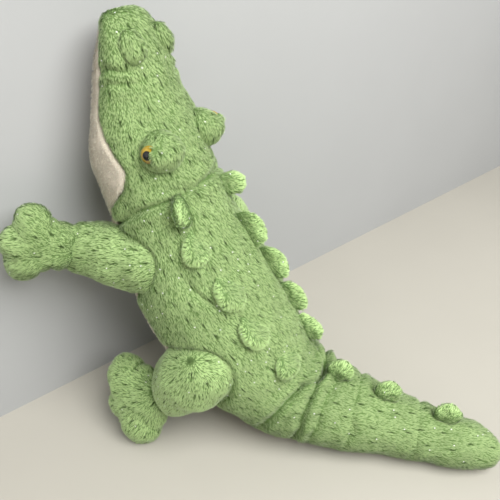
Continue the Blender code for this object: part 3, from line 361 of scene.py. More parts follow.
def pile(name, skin, seed, materials, density, length, width, stand=20.0, clump=0.0021, flecks=0.0, bare=None):
    """Plush fibres on a skin: thin bent blades in small tufts, which lie along the comb."""
    rng = np.random.default_rng(seed)
    area = skin.grown_area()
    count = min(int(area * density), MOST_FIBRES)
    triangles, mix = skin.scatter(count, rng)

    def at(values, which=slice(None)):
        values = values if values.ndim == 2 else values[:, None]
        return (values[triangles[which]] * mix[which]).sum(1)

    root, normal, way = at(skin.points), unit(at(skin.normals)), at(skin.comb)
    way = unit(way - normal * (way * normal).sum(1)[:, None])
    aside = np.cross(normal, way)
    keep = root[:, 2] > 0.0005
    shade_pit = np.zeros(count)
    if skin.pits is not None:
        rings = [pit_ring(skin.pits, root + way * length * share, way, normal) for share in (0.0, 0.45, 0.85)]
        keep &= np.minimum(rings[0], rings[1]) > 1
        # painted shade on the fibres in and beside each pit
        shade_pit = np.exp(-((np.minimum(rings[0], rings[2]) / 1.5) ** 2))
    if bare is not None:
        keep &= bare(root)
    root, normal, way, aside, shade_pit = (x[keep] for x in (root, normal, way, aside, shade_pit))
    long = (length * at(skin.long)[keep, 0] * rng.uniform(0.75, 1.2, len(root)))[:, None]
    more_tone = at(skin.tone)[keep, 0]
    count = len(root)
    turn = np.radians(6 * rng.normal(size=count) + 9 * lumps(root, 0.03, seed + 1))[:, None]
    way, aside = way * np.cos(turn) + aside * np.sin(turn), aside * np.cos(turn) - way * np.sin(turn)
    rise = np.radians(stand + 6 * rng.normal(size=count) + 5 * lumps(root, 0.024, seed + 2))[:, None]
    first = way * np.cos(rise) + normal * np.sin(rise)
    second = unit(first + way * 0.5 - normal * 0.12)
    bent = root + first * long * BEND
    tip = bent + second * long * 0.45
    tufts = max(int(area / clump ** 2), 1)
    chosen = rng.choice(count, min(tufts, count), replace=False)
    tuft = nearest(root[chosen], root)
    mate = chosen[tuft]
    pull = rng.uniform(0.10, 0.34, len(chosen))[tuft][:, None]
    tip = tip * (1 - pull) + tip[mate] * pull
    middle = bent * (1 - 0.45 * pull) + (root[mate] + first[mate] * long * BEND) * 0.45 * pull
    roll = np.radians(24 * rng.normal(size=count))[:, None]
    across = aside * np.cos(roll) + normal * np.sin(roll)
    across = across * (width / 2) * rng.uniform(0.7, 1.3, count)[:, None]
    base = root - normal * 0.0005
    points = np.stack([base - across, base + across, middle - across * 0.9, middle + across * 0.9, tip], 1)
    faces = np.array([[0, 3, 1], [0, 2, 3], [2, 4, 3]])
    faces = (np.arange(count)[:, None, None] * 5 + faces).reshape(-1, 3)
    shade = unit(normal + 0.07 * rng.normal(size=(count, 3)) + 0.07 * rng.normal(size=(len(chosen), 3))[tuft])
    # Tone differs at random between fibres and tufts, drops near the pits as painted shade, and takes each skin's
    # painted light and shade.
    tone = 0.5 + 0.11 * rng.normal(size=count) + 0.08 * rng.normal(size=len(chosen))[tuft] - 0.45 * shade_pit
    tone += more_tone
    if flecks:
        some = rng.choice(count, max(1, int(area * flecks)), replace=False)
        spot = middle[some] + normal[some] * 0.0016
        a, b = way[some] * FLECK, aside[some] * FLECK
        points[some] = np.stack([spot - a, spot - b * 0.9, spot + b, spot + a * 0.2, spot + a], 1)
        flecked = np.concatenate([some * 3, some * 3 + 1, some * 3 + 2])
        faces[flecked] = np.concatenate([some[:, None] * 5 + row for row in ([0, 1, 3], [0, 3, 2], [2, 3, 4])])
    points[..., 2] = np.maximum(points[..., 2], 0.0004)
    cells = int(np.ceil(np.sqrt(count)))
    corner = np.array([[0.15, 0.1], [0.85, 0.1], [0.2, 0.5], [0.8, 0.5], [0.5, 0.9]])
    cell = np.stack([np.arange(count) % cells, np.arange(count) // cells], -1)[:, None, :]
    maps = ((cell + corner) / cells).reshape(-1, 2)
    thing = make_mesh(name, points.reshape(-1, 3), faces, maps, np.repeat(shade, 5, 0),
                      {"tip": np.tile([0.0, 0.0, 0.6, 0.6, 1.0], count),
                       "tone": np.repeat(np.clip(tone, 0, 1), 5)})
    for material in materials:
        thing.data.materials.append(material)
    if flecks:
        which = np.zeros(len(faces), np.int32)
        which[flecked] = 1
        thing.data.polygons.foreach_set("material_index", which)
        thing.data.update()
    return thing


# ---------------------------------------------------------------- materials
def new_material(name, roughness, sheen=0.0, coat=0.0):
    finish = bpy.data.materials.new(name)
    finish.use_nodes = True
    shader = finish.node_tree.nodes["Principled BSDF"]
    shader.inputs["Roughness"].default_value = roughness
    shader.inputs["Sheen Weight"].default_value = sheen
    shader.inputs["Sheen Roughness"].default_value = 0.5
    shader.inputs["Coat Weight"].default_value = coat
    shader.inputs["Specular IOR Level"].default_value = 0.5 if coat else 0.2
    return finish, finish.node_tree, shader


def node(tree, kind, **settings):
    made = tree.nodes.new(kind)
    for key, value in settings.items():
        if isinstance(value, (int, float)) and key in made.inputs:
            made.inputs[key].default_value = value
        else:
            setattr(made, key, value)
    return made


def ranged(tree, value, low, high, first=0.0, last=1.0):
    """A value between first and last, moved to between low and high."""
    made = node(tree, "ShaderNodeMapRange", **{"From Min": first, "From Max": last, "To Min": low, "To Max": high})
    tree.links.new(value, made.inputs["Value"])
    return made.outputs["Result"]


def noise_value(tree, scale, detail, low, high):
    """Noise in object space, spread from low to high."""
    place = node(tree, "ShaderNodeTexCoord")
    noise = node(tree, "ShaderNodeTexNoise", Scale=scale, Detail=detail, Roughness=0.55)
    tree.links.new(place.outputs["Object"], noise.inputs["Vector"])
    return ranged(tree, noise.outputs["Fac"], low, high, 0.3, 0.7)


def ramp(tree, value, stops):
    made = node(tree, "ShaderNodeValToRGB")
    elements = made.color_ramp.elements
    while len(elements) < len(stops):
        elements.new(0.5)
    for element, (place, colour) in zip(elements, stops):
        element.position = place
        element.color = (*colour, 1.0)
    tree.links.new(value, made.inputs["Fac"])
    return made.outputs["Color"]


def mottle(tree, shader, scale, detail, first, last):
    """A base colour that wanders between two."""
    colour = ramp(tree, noise_value(tree, scale, detail, 0.0, 1.0), ((0.0, first), (1.0, last)))
    tree.links.new(colour, shader.inputs["Base Color"])


def scaled(tree, colour, value):
    """A colour times a grey value."""
    grey = node(tree, "ShaderNodeMix", data_type="RGBA", blend_type="MULTIPLY")
    grey.inputs["Factor"].default_value = 1.0
    tree.links.new(colour, grey.inputs[6])
    tree.links.new(value, grey.inputs[7])
    return grey.outputs[2]


def attribute(tree, name):
    return node(tree, "ShaderNodeAttribute", attribute_name=name).outputs["Fac"]


def fibre_material(name, root, middle, tip, spread_low, spread_high):
    """Pile: darker at the root as painted shade among the fibres, light at the tip, with tufts and soft patches
    that differ a little.
    """
    finish, tree, shader = new_material(name, 0.85, sheen=0.25)
    colour = ramp(tree, attribute(tree, "tip"), ((0.0, root), (0.55, middle), (1.0, tip)))
    colour = scaled(tree, colour, ranged(tree, attribute(tree, "tone"), spread_low, spread_high))
    colour = scaled(tree, colour, noise_value(tree, 22.0, 2.0, 0.93, 1.07))
    tree.links.new(colour, shader.inputs["Base Color"])
    return finish


def skin_material(name, dark, light, fine):
    """The knitted ground under the pile, with a fine nap and painted shade in its pits."""
    finish, tree, shader = new_material(name, 0.95)
    colour = ramp(tree, noise_value(tree, fine, 3.0, 0.0, 1.0), ((0.0, dark), (1.0, light)))
    # painted shade: the ground darkens in each pit
    colour = scaled(tree, colour, ranged(tree, attribute(tree, "pit"), 1.0, 0.25))
    tree.links.new(colour, shader.inputs["Base Color"])
    relief = node(tree, "ShaderNodeBump", Strength=0.6, Distance=0.0008)
    tree.links.new(noise_value(tree, fine * 1.6, 4.0, 0.0, 1.0), relief.inputs["Height"])
    tree.links.new(relief.outputs["Normal"], shader.inputs["Normal"])
    return finish


# Each pile runs from a root darkened as painted shade among the fibres to a light tip.
green_pile = fibre_material("green_pile", (0.27, 0.40, 0.145), (0.42, 0.585, 0.245), (0.49, 0.655, 0.305),
                            0.80, 1.16)
# The flap pile spreads its tone wider, for the painted shade and highlight of flaps and lobes.
flap_pile = fibre_material("flap_pile", (0.28, 0.41, 0.15), (0.42, 0.585, 0.245), (0.50, 0.66, 0.32), 0.76, 1.34)
cream_pile = fibre_material("cream_pile", (0.56, 0.50, 0.38), (0.80, 0.755, 0.61), (0.88, 0.84, 0.72),
                            0.62, 1.26)
# The grounds are darker than their pile: painted shade in the gaps between the fibres.
green_skin = skin_material("green_ground", (0.12, 0.21, 0.06), (0.20, 0.32, 0.11), 900.0)
flap_ground = skin_material("flap_ground", (0.13, 0.23, 0.07), (0.21, 0.34, 0.12), 900.0)
cream_skin = skin_material("cream_ground", (0.60, 0.53, 0.42), (0.78, 0.71, 0.60), 1100.0)
fleck, fleck_tree, fleck_shader = new_material("white_fleck", 0.3)
mottle(fleck_tree, fleck_shader, 60.0, 0.0, (0.80, 0.84, 0.78), (0.95, 0.96, 0.93))


# ---------------------------------------------------------------- body skins
CREASES = (
    # start on the spine, places from there at angles out from the back, depth, width and how far round it goes
    (0, ((0, 0.250), (12, 0.252), (31, 0.280), (63, 0.2925), (110, 0.297)), 0.0062, 0.0050, 125),
    (0, ((0, 0.2513), (29, 0.2548), (67, 0.2574), (120, 0.258)), 0.0056, 0.0042, 125),
    (0, ((0, 0.2275), (36, 0.2370), (67, 0.2384), (120, 0.239)), 0.0034, 0.0044, 110),
    (0, ((0, 0.2000), (30, 0.1995), (70, 0.1965), (120, 0.196)), 0.0026, 0.0042, 110),
    (0, ((0, 0.1160), (30, 0.1155), (70, 0.1130), (120, 0.112)), 0.0024, 0.0040, 110),
    (HEAD_START, ((0, 0.0105), (38, 0.0090), (60, 0.0095), (106, 0.0005), (130, -0.002)), 0.0056, 0.0040, 140),
    (HEAD_START, ((0, 0.0150), (27, 0.0170), (45, 0.0230)), 0.0030, 0.0042, 52),
    (HEAD_START, ((52, 0.158), (78, 0.163), (100, 0.160)), 0.0036, 0.0034, 108),
    (HEAD_START, ((40, 0.143), (75, 0.149), (100, 0.141)), 0.0020, 0.0034, 98),
)
LEFT_SHARES, RIGHT_SHARES = (0.826, 0.64, 0.455, 0.262), (0.79, 0.602, 0.412, 0.222)
CHIN = curve(((0.0, 0.60), (0.025, 0.44), (0.045, 0.27), (0.065, 0.13), (0.090, 0.04), (0.120, 0.0)))


def chin_rise(place, angle):
    """How far the underside of the snout slopes in towards its tip."""
    return CHIN(LENGTH - place) * smooth((turned_from_back(angle) - 50) / 60) * body.depth(place) / 2


def body_relief(place, angle, points):
    """How far the stuffed surface stands off the plain form."""
    round_to = turned_from_back(angle)
    out = 0.0016 * lumps(points, 0.075, 3) + 0.0007 * lumps(points, 0.030, 4)
    out *= smooth((LENGTH - place) / 0.05) * smooth(place / 0.04)
    for start, spots, depth, width, reach in CREASES:
        line = curve([(turn, start + at) for turn, at in spots])(np.minimum(round_to, spots[-1][0]))
        wander = 0.0016 * lumps(points, 0.04, 5)
        line_depth = depth * smooth((reach - round_to) / 20) * smooth((round_to - spots[0][0] + 20) / 20)
        out -= line_depth * bump(place, line + wander, width)
        out += 0.30 * line_depth * (bump(place, line + wander - 2.4 * width, 1.4 * width)
                                    + bump(place, line + wander + 2.4 * width, 1.4 * width))
    arc = np.radians(round_to - 28) * body.width(place) / 2
    on_back = smooth((place - TAIL + 0.01) / 0.03) * smooth((HEAD_START + 0.005 - place) / 0.02)
    out += on_back * (0.0022 * smooth(-arc / 0.008) - 0.0020 * bump(arc, 0.0, 0.0022))
    arc = np.radians(round_to) * body.width(place) / 2
    on_tail = smooth((TAIL - 0.005 - place) / 0.03) * smooth((place - 0.02) / 0.03)
    out += 0.0016 * on_tail * bump(arc, 0.0, 0.0050)
    return out


def bag_skin(first, last, thickness, panel, first_tuck, last_tuck, dorsal, under=22, crease=False,
             bald=(0.0, 1.0)):
    """The green skin of one stretch of the body, set in under the pale panel."""
    rows = np.linspace(first, last, max(int((last - first) / FINE), 8))
    edge = np.radians(EDGE(rows))[:, None]
    share = np.linspace(-1, 1, dorsal)[None]
    low = np.linspace(0, 1, under + 2)[1:-1][None]
    angle = np.concatenate([edge * share, edge + (2 * np.pi - 2 * edge) * low], axis=1)
    place = np.broadcast_to(rows[:, None], angle.shape)
    half = body.width(place) / 2
    spots = body.point(place, angle).reshape(-1, 3)
    out = body_relief(place.ravel(), angle.ravel(), spots).reshape(angle.shape)
    beside = (edge - np.abs(angle)) * half
    paneled = smooth((place - panel[0]) / 0.006) * smooth((panel[1] - place) / 0.006)
    covered = np.arange(angle.shape[1])[None] >= dorsal
    out = np.where(covered, -(thickness + 0.0012) * paneled,
                   out - 0.0030 * paneled * bump(beside, 0.0, 0.0035))
    out -= chin_rise(place, angle)
    for name, form in LIMBS.items() if crease else ():
        near = fill_of(form, spots).reshape(angle.shape)
        beside_limb = smooth((np.degrees(angle) * (1 if name.endswith("left") else -1) - 33.0) / 9.0)
        out -= 0.0050 * bump(near, 1.08, 0.14) * beside_limb * (place > TAIL + 0.2 * TORSO)
    out -= 0.006 * (1 - smooth((place - first) / first_tuck)) if first_tuck else 0.0
    out -= 0.006 * (1 - smooth((last - place) / last_tuck)) if last_tuck else 0.0
    points = body.point(place, angle, out)
    points[..., 2] = np.maximum(points[..., 2], OFF_GROUND)
    forward = body.axes(place)[1]
    comb = -forward - 0.10 * np.cross(body.normal(place, angle), forward)
    grow = np.where(covered & (paneled > 0.5), 0.0, 1.0)
    if first_tuck:
        grow = grow * (place > first + first_tuck * 0.4)
    if last_tuck:
        grow = grow * (place < last - last_tuck * 0.4)
    skin = Skin(points, comb, grow)
    skin.pitted = skin.full(np.where(np.abs(angle) < np.radians(bald[0]), bald[1], 1.0))
    # Painted shade: the pile grows darker towards the tail.
    skin.tone = skin.full(-0.42 * smooth((TAIL + 0.34 * TORSO - place) / 0.12))
    return skin


def panel_skin(first, last, thickness, columns, round_ends):
    """A pale panel: crowned outside, pulled in at its seams, pressed flat on the ground."""
    rows = np.linspace(first, last, max(int((last - first) / FINE), 8))
    edge = np.radians(EDGE(rows))[:, None]
    share = np.linspace(0, 1, columns)[None]
    back = np.linspace(1, 0, 14)[1:-1][None]
    angle = edge + (2 * np.pi - 2 * edge) * np.concatenate([share, back], axis=1)
    place = np.broadcast_to(rows[:, None], angle.shape)
    outside = np.arange(angle.shape[1])[None] < columns
    beside = np.minimum(angle - edge, 2 * np.pi - edge - angle) * body.width(place) / 2
    ends = np.ones_like(place)
    if round_ends[0]:
        ends = ends * smooth((place - first) / round_ends[0] + 0.05)
    if round_ends[1]:
        ends = ends * smooth((last - place) / round_ends[1] + 0.05)
    lump = 0.0012 * lumps(body.point(place, angle), 0.05, 8)
    out = (0.0006 + lump) * ends - 0.0045 * bump(beside, 0.0, 0.0030) - 0.004 * (1 - ends)
    out = np.where(outside, out, -thickness) - chin_rise(place, angle)
    points = body.point(place, angle, out)
    points[..., 2] = np.maximum(points[..., 2], np.where(outside, 0.0, 0.0012))
    grow = np.where(outside & (points[..., 2] > 0.0008), 1.0, 0.0)
    return Skin(points, -body.axes(place)[1], grow)


# ---------------------------------------------------------------- limbs and paws
ARM_WIDTHS = ((0.0, 0.6), (0.14, 0.88), (0.3, 1.0), (0.5, 1.0))
LEG_WIDTHS = ((0.0, 0.5), (0.12, 0.8), (0.28, 0.97), (0.42, 1.0), (0.6, 0.9))
TOES = ((-52.0, 0.92), (0.0, 1.0), (52.0, 0.92))
WRIST, ANKLE = 0.060, 0.062
PALM = 0.46              # how far along a paw the middle of its palm lies


def limb_form(share, angle, sink, length, turns, lifts, roll, width, shares, wrist, depth, wrist_depth):
    root = body.point(TAIL + share * TORSO, np.radians(angle), -sink)
    wide = curve([(s * length, width * part) for s, part in shares] + [(length, wrist)])
    deep = curve([(s * length, width * depth * part) for s, part in shares] + [(length, wrist * wrist_depth)])
    turn, lift = (curve([(s * length, v) for s, v in table]) for table in (turns, lifts))
    return Form(root, length, turn, lift, lambda p: roll + 0 * p, wide, deep)


def arm_form(way, turns, lifts, roll):
    return limb_form(0.775, 70.0 * way, 0.030, 0.124, turns, lifts, roll, 0.078, ARM_WIDTHS, WRIST, 0.92, 0.74)


def paw_outline(angle, size, wrist):
    """How far a paw's outline lies from the middle of its palm, round it."""
    length, breadth, thickness = size
    centre = PALM * length
    toe_size = 0.2 * breadth
    circles = [(0.0, 0.0, 0.36 * breadth), (-centre, 0.0, wrist / 2)]
    for toe, reach_share in TOES:
        reach = (length - centre) * reach_share - toe_size
        aside = (breadth / 2 - toe_size) * np.sin(np.radians(toe)) / np.sin(np.radians(52.0))
        circles.append((reach * np.cos(np.radians(toe)), aside, toe_size))
    radius = np.zeros_like(angle)
    for x, y, r in circles:
        ahead, aside = x * np.cos(angle) + y * np.sin(angle), x * np.sin(angle) - y * np.cos(angle)
        reach = ahead + np.sqrt(np.maximum(r * r - aside ** 2, 0))
        radius = np.maximum(radius, np.where(np.abs(aside) < r, reach, 0))
    return radius


def paw_points(form, size, wrist, reach, rise, angle, least):
    length, breadth, thickness = size
    centre, forward, side, up = form.axes(form.length)
    radius = paw_outline(angle, size, wrist) * reach
    ahead = np.maximum(PALM * length + radius * np.cos(angle), least)
    return centre + (forward * ahead[..., None] + side * (radius * np.sin(angle))[..., None]
                     + up * (thickness / 2 * rise)[..., None])


def leg_form(way, turns, roll):
    """The leg that just presses its foot on the ground."""
    rings = np.array([0.45, 0.74, 0.9])
    reach = np.concatenate([rings, rings[::-1], [1.0]])
    rise = np.concatenate([-np.sqrt(1 - rings ** 2.2), np.sqrt(1 - rings[::-1] ** 2.2), [0.0]])
    reach, angle = once_round(reach, 32)
    rise = np.broadcast_to(rise[:, None], angle.shape)
    raised, lowered = -60.0, 60.0
    for step in range(30):
        drop = (raised + lowered) / 2
        lifts = [(s, v - drop) for s, v in ((0.0, 2.0), (0.35, -32.0), (0.7, -46.0), (1.0, -20.0))]
        form = limb_form(0.385, 71.0 * way, 0.028, 0.116, turns, lifts, roll, 0.090, LEG_WIDTHS, ANKLE, 0.94,
                         0.72)
        if paw_points(form, FOOT, ANKLE, reach, rise, angle, 0.0004)[..., 2].min() > -PRESS:
            raised = drop
        else:
            lowered = drop
    return form


HAND, FOOT = (0.076, 0.094, 0.052), (0.080, 0.124, 0.058)
LIMBS = {
    "arm_left": arm_form(1, ((0.0, -93.0), (0.6, -84.0), (1.0, -46.0)),
                         ((0.0, 5.0), (0.6, 9.0), (1.0, 24.0)), 90.0),
    "arm_right": arm_form(-1, ((0.0, -168.0), (0.5, -140.0), (1.0, -116.0)),
                          ((0.0, -8.0), (0.5, -36.0), (1.0, -46.0)), 80.0),
    "leg_left": leg_form(1, ((0.0, -30.0), (0.35, -92.0), (1.0, -86.0)), 120.0),
    "leg_right": leg_form(-1, ((0.0, -155.0), (0.35, -105.0), (1.0, -80.0)), -120.0),
}
# paw, sizes, joint, depth of its crease, share of the notches that is filled, start of the grooves
PAWS = {"arm_left": ("hand_left", HAND, WRIST, 0.0035, 0.72, 0.26),
        "arm_right": ("hand_right", HAND, WRIST, 0.0035, 0.72, 0.26),
        "leg_left": ("foot_left", FOOT, ANKLE, 0.0085, 0.0, 0.10),
        "leg_right": ("foot_right", FOOT, ANKLE, 0.0085, 0.0, 0.10)}
WHORL_PLACE, WHORL_ANGLE = 0.0234, 147.0


def limb_skin(form, name):
    """A padded limb from its root inside the body to a gathered wrist or ankle."""
    place, angle = once_round(np.linspace(0.002, form.length + 0.007, int(form.length / FINE)), 104)
    out = 0.0015 * lumps(form.point(place, angle), 0.055, 11)
    out -= PAWS[name][3] * bump(place, form.length, 0.006)
    out -= 0.006 * smooth((place - form.length - 0.001) / 0.006)
    points = form.point(place, angle, out)
    points[..., 2] = np.maximum(points[..., 2], OFF_GROUND)
    forward = form.axes(place)[1]
    outside = fill_of(body, points.reshape(-1, 3), -0.007).reshape(place.shape) > 1
    comb = forward + 0.25 * np.cross(form.normal(place, angle), forward)
    whorl, short = None, 1.0
    if name.startswith("leg"):
        way = 1 if name.endswith("left") else -1
        whorl = form.point(WHORL_PLACE, np.radians(WHORL_ANGLE * way))
        away = points - whorl
        near = np.exp(-(np.linalg.norm(away, axis=-1) / 0.052) ** 4)[..., None]
        comb = comb * (1 - near) + 1.2 * unit(away) * near
        short = 1 - 0.62 * np.exp(-(np.linalg.norm(away, axis=-1) / 0.0075) ** 2)
    skin = Skin(points, comb, outside & (place < form.length + 0.001))
    # Painted light: a limb's pile is lighter.
    skin.tone[:] = 0.30
    skin.whorl = whorl
    skin.long = skin.full(short + 0 * place)
    return skin


def filled_outline(around, size, wrist, share):
    """A paw's outline with its notches filled by a share of their depth."""
    edge = paw_outline(around, size, wrist)
    turns = np.radians(np.linspace(-70.0, 70.0, 71))
    one, two = np.meshgrid(turns, turns)
    near, far = np.meshgrid(paw_outline(turns, size, wrist), paw_outline(turns, size, wrist))
    full = edge.copy()
    for i, turn in enumerate((around + np.pi) % (2 * np.pi) - np.pi):
        between = (one < turn) & (two > turn)
        if between.any():
            r, s, a, b = near[between], far[between], turn - one[between], two[between] - turn
            full[i] = max(edge[i], (r * s * np.sin(a + b) / (r * np.sin(a) + s * np.sin(b))).max())
    return edge + share * (full - edge)


def paw_skin(form, size, wrist, deep, filled, notch):
    """A padded paw with three toes, grooves between them, and a gathered wrist."""
    length, breadth, thickness = size
    lift, angle = once_round(np.radians(np.linspace(-88.5, 88.5, 44)), 144)
    reach, rise = np.cos(lift) ** (2 / 2.2), np.sin(lift)
    centre, forward, side, up = form.axes(form.length)
    radius = filled_outline(angle[0], size, wrist, filled) * reach
    x, y = radius * np.cos(angle), radius * np.sin(angle)
    groove = np.zeros_like(x)
    for way in (-1, 1):
        turn = np.radians(27.0) * way
        along, off = x * np.cos(turn) + y * np.sin(turn), y * np.cos(turn) - x * np.sin(turn)
        groove += smooth((along - notch * breadth) / (0.16 * breadth)) * bump(off, 0.0, 0.0052)
    toes = smooth((x - 0.02 * length) / (0.25 * length))
    z = thickness / 2 * rise * (1 + 0.10 * toes)
    z -= np.sign(z) * np.minimum(0.0046 * groove, np.abs(z) * 0.8)
    ahead = np.maximum(PALM * length + x, -0.007)
    pinch = 1 - deep / (wrist / 2) * bump(ahead, 0.0, 0.007) - 0.22 * smooth((0.0 - ahead) / 0.006)
    spots = centre + forward * ahead[..., None] + side * (y * pinch)[..., None] + up * (z * pinch)[..., None]
    normal = unit(spots - (centre + forward * (PALM * length)))
    spots = spots + normal * (0.0013 * lumps(spots, 0.035, 17))[..., None]
    spots[..., 2] = np.maximum(spots[..., 2], OFF_GROUND)
    comb = forward + 0.9 * normal - 0.2 * up * np.sign(z)[..., None]
    skin = Skin(spots, comb, ahead > -0.0005)
    # Painted light: a paw's pile is lighter.
    skin.tone[:] = 0.20
    return skin


# ---------------------------------------------------------------- flaps and face
def surface_spot(place, angle, ahead, across, lift):
    """Points over the body, ahead along the spine and across to the left of a place."""
    reach = np.hypot(body.width(place) / 2 * np.cos(angle), body.depth(place) / 2 * np.sin(angle))
    turned = angle + across / reach
    place = place + ahead
    turned = turned + 0 * place
    return body.point(place, turned) + body.normal(place, turned) * np.asarray(lift)[..., None]


FLAP_LONG = curve(((0.0, 0.84), (0.2, 0.95), (0.5, 1.02), (0.75, 0.94), (0.9, 0.72), (1.0, 0.30)))
FLAP_THICK = curve(((0.0, 0.50), (0.25, 0.72), (0.58, 1.05), (0.78, 1.0), (0.93, 0.66), (1.0, 0.22)))


def flap_skin(place, angle, length, height, lean, curl, swing, lift, thickness, cup, seed):
    """A padded tab that stands on a seam of the back and curls over as it rises."""
    angle = np.radians(angle)
    normal = body.normal(place, angle)
    forward = body.axes(place)[1]
    along = unit(forward - normal * forward.dot(normal))
    left = np.cross(normal, along)
    steps = np.linspace(0.0, 1.0, 26)
    turn = np.radians(lean + curl * (steps - 0.35))
    rise = normal * np.cos(turn)[:, None] + left * np.sin(turn)[:, None]
    droop = np.radians(swing)
    rise = rise * np.cos(droop) - along * np.sin(droop)
    thick = unit(np.cross(rise, along))
    full_height = height + 0.005
    root = surface_spot(place, angle, 0.0, 0.0, lift)
    middle = root + np.vstack([np.zeros(3), np.cumsum((rise[1:] + rise[:-1]) / 2, 0)]) * full_height / 25
    around = np.arange(52) / 52 * 2 * np.pi
    x = np.cos(around)[None] * (length / 2 * FLAP_LONG(steps))[:, None]
    y = np.sin(around)[None] * (thickness / 2 * FLAP_THICK(steps))[:, None]
    bowed = (x / (length / 2)) ** 2 * steps[:, None]
    spots = (middle[:, None] + along * x[..., None] + thick[:, None] * (y + cup * bowed)[..., None]
             - rise[:, None] * (0.0030 * bowed)[..., None])
    out = unit(along * x[..., None] / length ** 2 + thick[:, None] * y[..., None] / 0.015 ** 2)
    spots = spots + out * (0.0011 * lumps(spots, 0.013, seed))[..., None]
    share = smooth(1.3 * steps)[:, None, None]
    comb = rise[:, None] * (0.3 + 0.7 * share) + along * (0.5 * x / length)[..., None]
    comb = comb - 0.8 * along * (1 - share)
    skin = Skin(spots, np.broadcast_to(comb, spots.shape), np.broadcast_to(steps[:, None] > 0.1, x.shape))
    skin.long[:] = 0.85
    # Painted shade at the root where the tab meets the body, painted highlight towards its tip.
    skin.tone = skin.full(np.broadcast_to((1.1 * smooth(1.2 * steps - 0.15) - 0.35)[:, None], x.shape))
    return skin


def lobe_skin(place, angle, length, breadth, height, seed):
    """A padded lobe of the left back seam: flush inwards, thick at its rim towards flank and tail."""
    angle = np.radians(angle)
    steps, around = once_round(np.radians(np.linspace(-38, 89.6, 34)), 96)
    reach = np.cos(steps) ** 0.6
    ahead, across = length / 2 * reach * np.cos(around), breadth / 2 * reach * np.sin(around)
    proud = smooth(0.52 + 0.62 * reach * (0.85 * np.sin(around) - 0.53 * np.cos(around)))
    wavy = 1 + 0.10 * np.sin(3 * around + seed) * reach
    lift = height * proud * (0.42 + 0.58 * np.sin(steps)) * wavy - 0.0038 * (1 - proud)
    spots = surface_spot(place, angle, ahead - 0.35 * across, across, lift)
    normal = body.normal(place, angle)
    spots = spots + normal * (0.0008 * lumps(spots, 0.014, seed))[..., None]
    forward = body.axes(place)[1]
    left = np.cross(normal, unit(forward - normal * (forward @ normal)))
    rim = smooth((reach - 0.35) / 0.6) * proud
    away = forward * np.cos(around)[..., None] + left * np.sin(around)[..., None]
    skin = Skin(spots, -forward * (1 - rim)[..., None] + away * (1.2 * rim)[..., None],
                (lift > 0.0) & (steps > np.radians(-25)))
    # Painted highlight towards the raised rim; a little darker where the lobe lies flush.
    skin.tone = skin.full(0.80 * rim - 0.12)
    skin.long = skin.full(np.clip(0.15 + lift / 0.0060, 0.15, 1.0))
    return skin


def dome_skin(place, angle, length, breadth, height, seed):
    """A soft mound sewn on the head."""
    angle = np.radians(angle)
    steps, around = once_round(np.radians(np.linspace(-8, 86, 26)), 72)
    reach, rise = np.cos(steps), np.sin(steps)
    ahead, across = length / 2 * reach * np.cos(around), breadth / 2 * reach * np.sin(around)
    spots = surface_spot(place, angle, ahead, across, height * rise)
    spots = spots + body.normal(place, angle) * (0.0009 * lumps(spots, 0.022, seed))[..., None]
    comb = np.broadcast_to(-body.axes(place)[1], spots.shape)
    return Skin(spots, comb, np.broadcast_to(rise > -0.05, reach.shape))


# ---------------------------------------------------------------- the dressed part
def hold(piece, how):
    if isinstance(how, str):
        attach(piece, how)
    else:
        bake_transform(piece)


def dress(name, skin, how, cloth, fill, seed, **changes):
    """A stuffed skin in place of a CAD node, and the pile that grows on it."""
    slot, ground, materials, fibre = cloth
    fibre = {**fibre, **changes}
    near_pit = np.full(len(skin.points), 9.0)
    if fibre.pop("pitted", False):
        near_pit = skin.dimple(PIT_GAP, seed + 500)
        skin.points = skin.points - skin.normals * 0.0012 * np.exp(-near_pit ** 2)[:, None]
    # the pit value paints shade on the ground in each pit
    shape = make_mesh(name + "_skin", skin.points, skin.triangles, skin.maps,
                      values={"pit": np.exp(-(near_pit / 1.2) ** 2)})
    shape.data.materials.append(ground)
    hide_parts(name)
    hold(shape, how)
    hold(pile(name + "_pile", skin, seed, materials, **fibre), how)


def spine_points(start, end):
    return body.axes(start)[0], body.axes(end)[0]


NECK_HOLD = ("torso", "head", *spine_points(NECK_PLACE + 0.019, NECK_PLACE + 0.060))
WAIST_HOLD = ("torso", "tail_base", *spine_points(WAIST_PLACE - 0.006, WAIST_PLACE - 0.044))
BEND_HOLD = ("tail_base", "tail_tip", *spine_points(BEND_PLACE - 0.004, BEND_PLACE - 0.034))
FUR = dict(density=640000, length=0.0052, width=0.00064, flecks=1000.0, pitted=True)
NAP = dict(density=330000, length=0.0028, width=0.0011, stand=55.0, clump=0.0013)
GREEN = ("green_fur", green_skin, (green_pile, fleck), FUR)
# Cloth of the flaps and lobes, whose pile tone carries painted shade and highlight.
FLAP_CLOTH = ("flap_fur", flap_ground, (flap_pile, fleck), {**FUR, "pitted": False, "length": 0.0056})
CREAM = ("cream_plush", cream_skin, (cream_pile,), NAP)

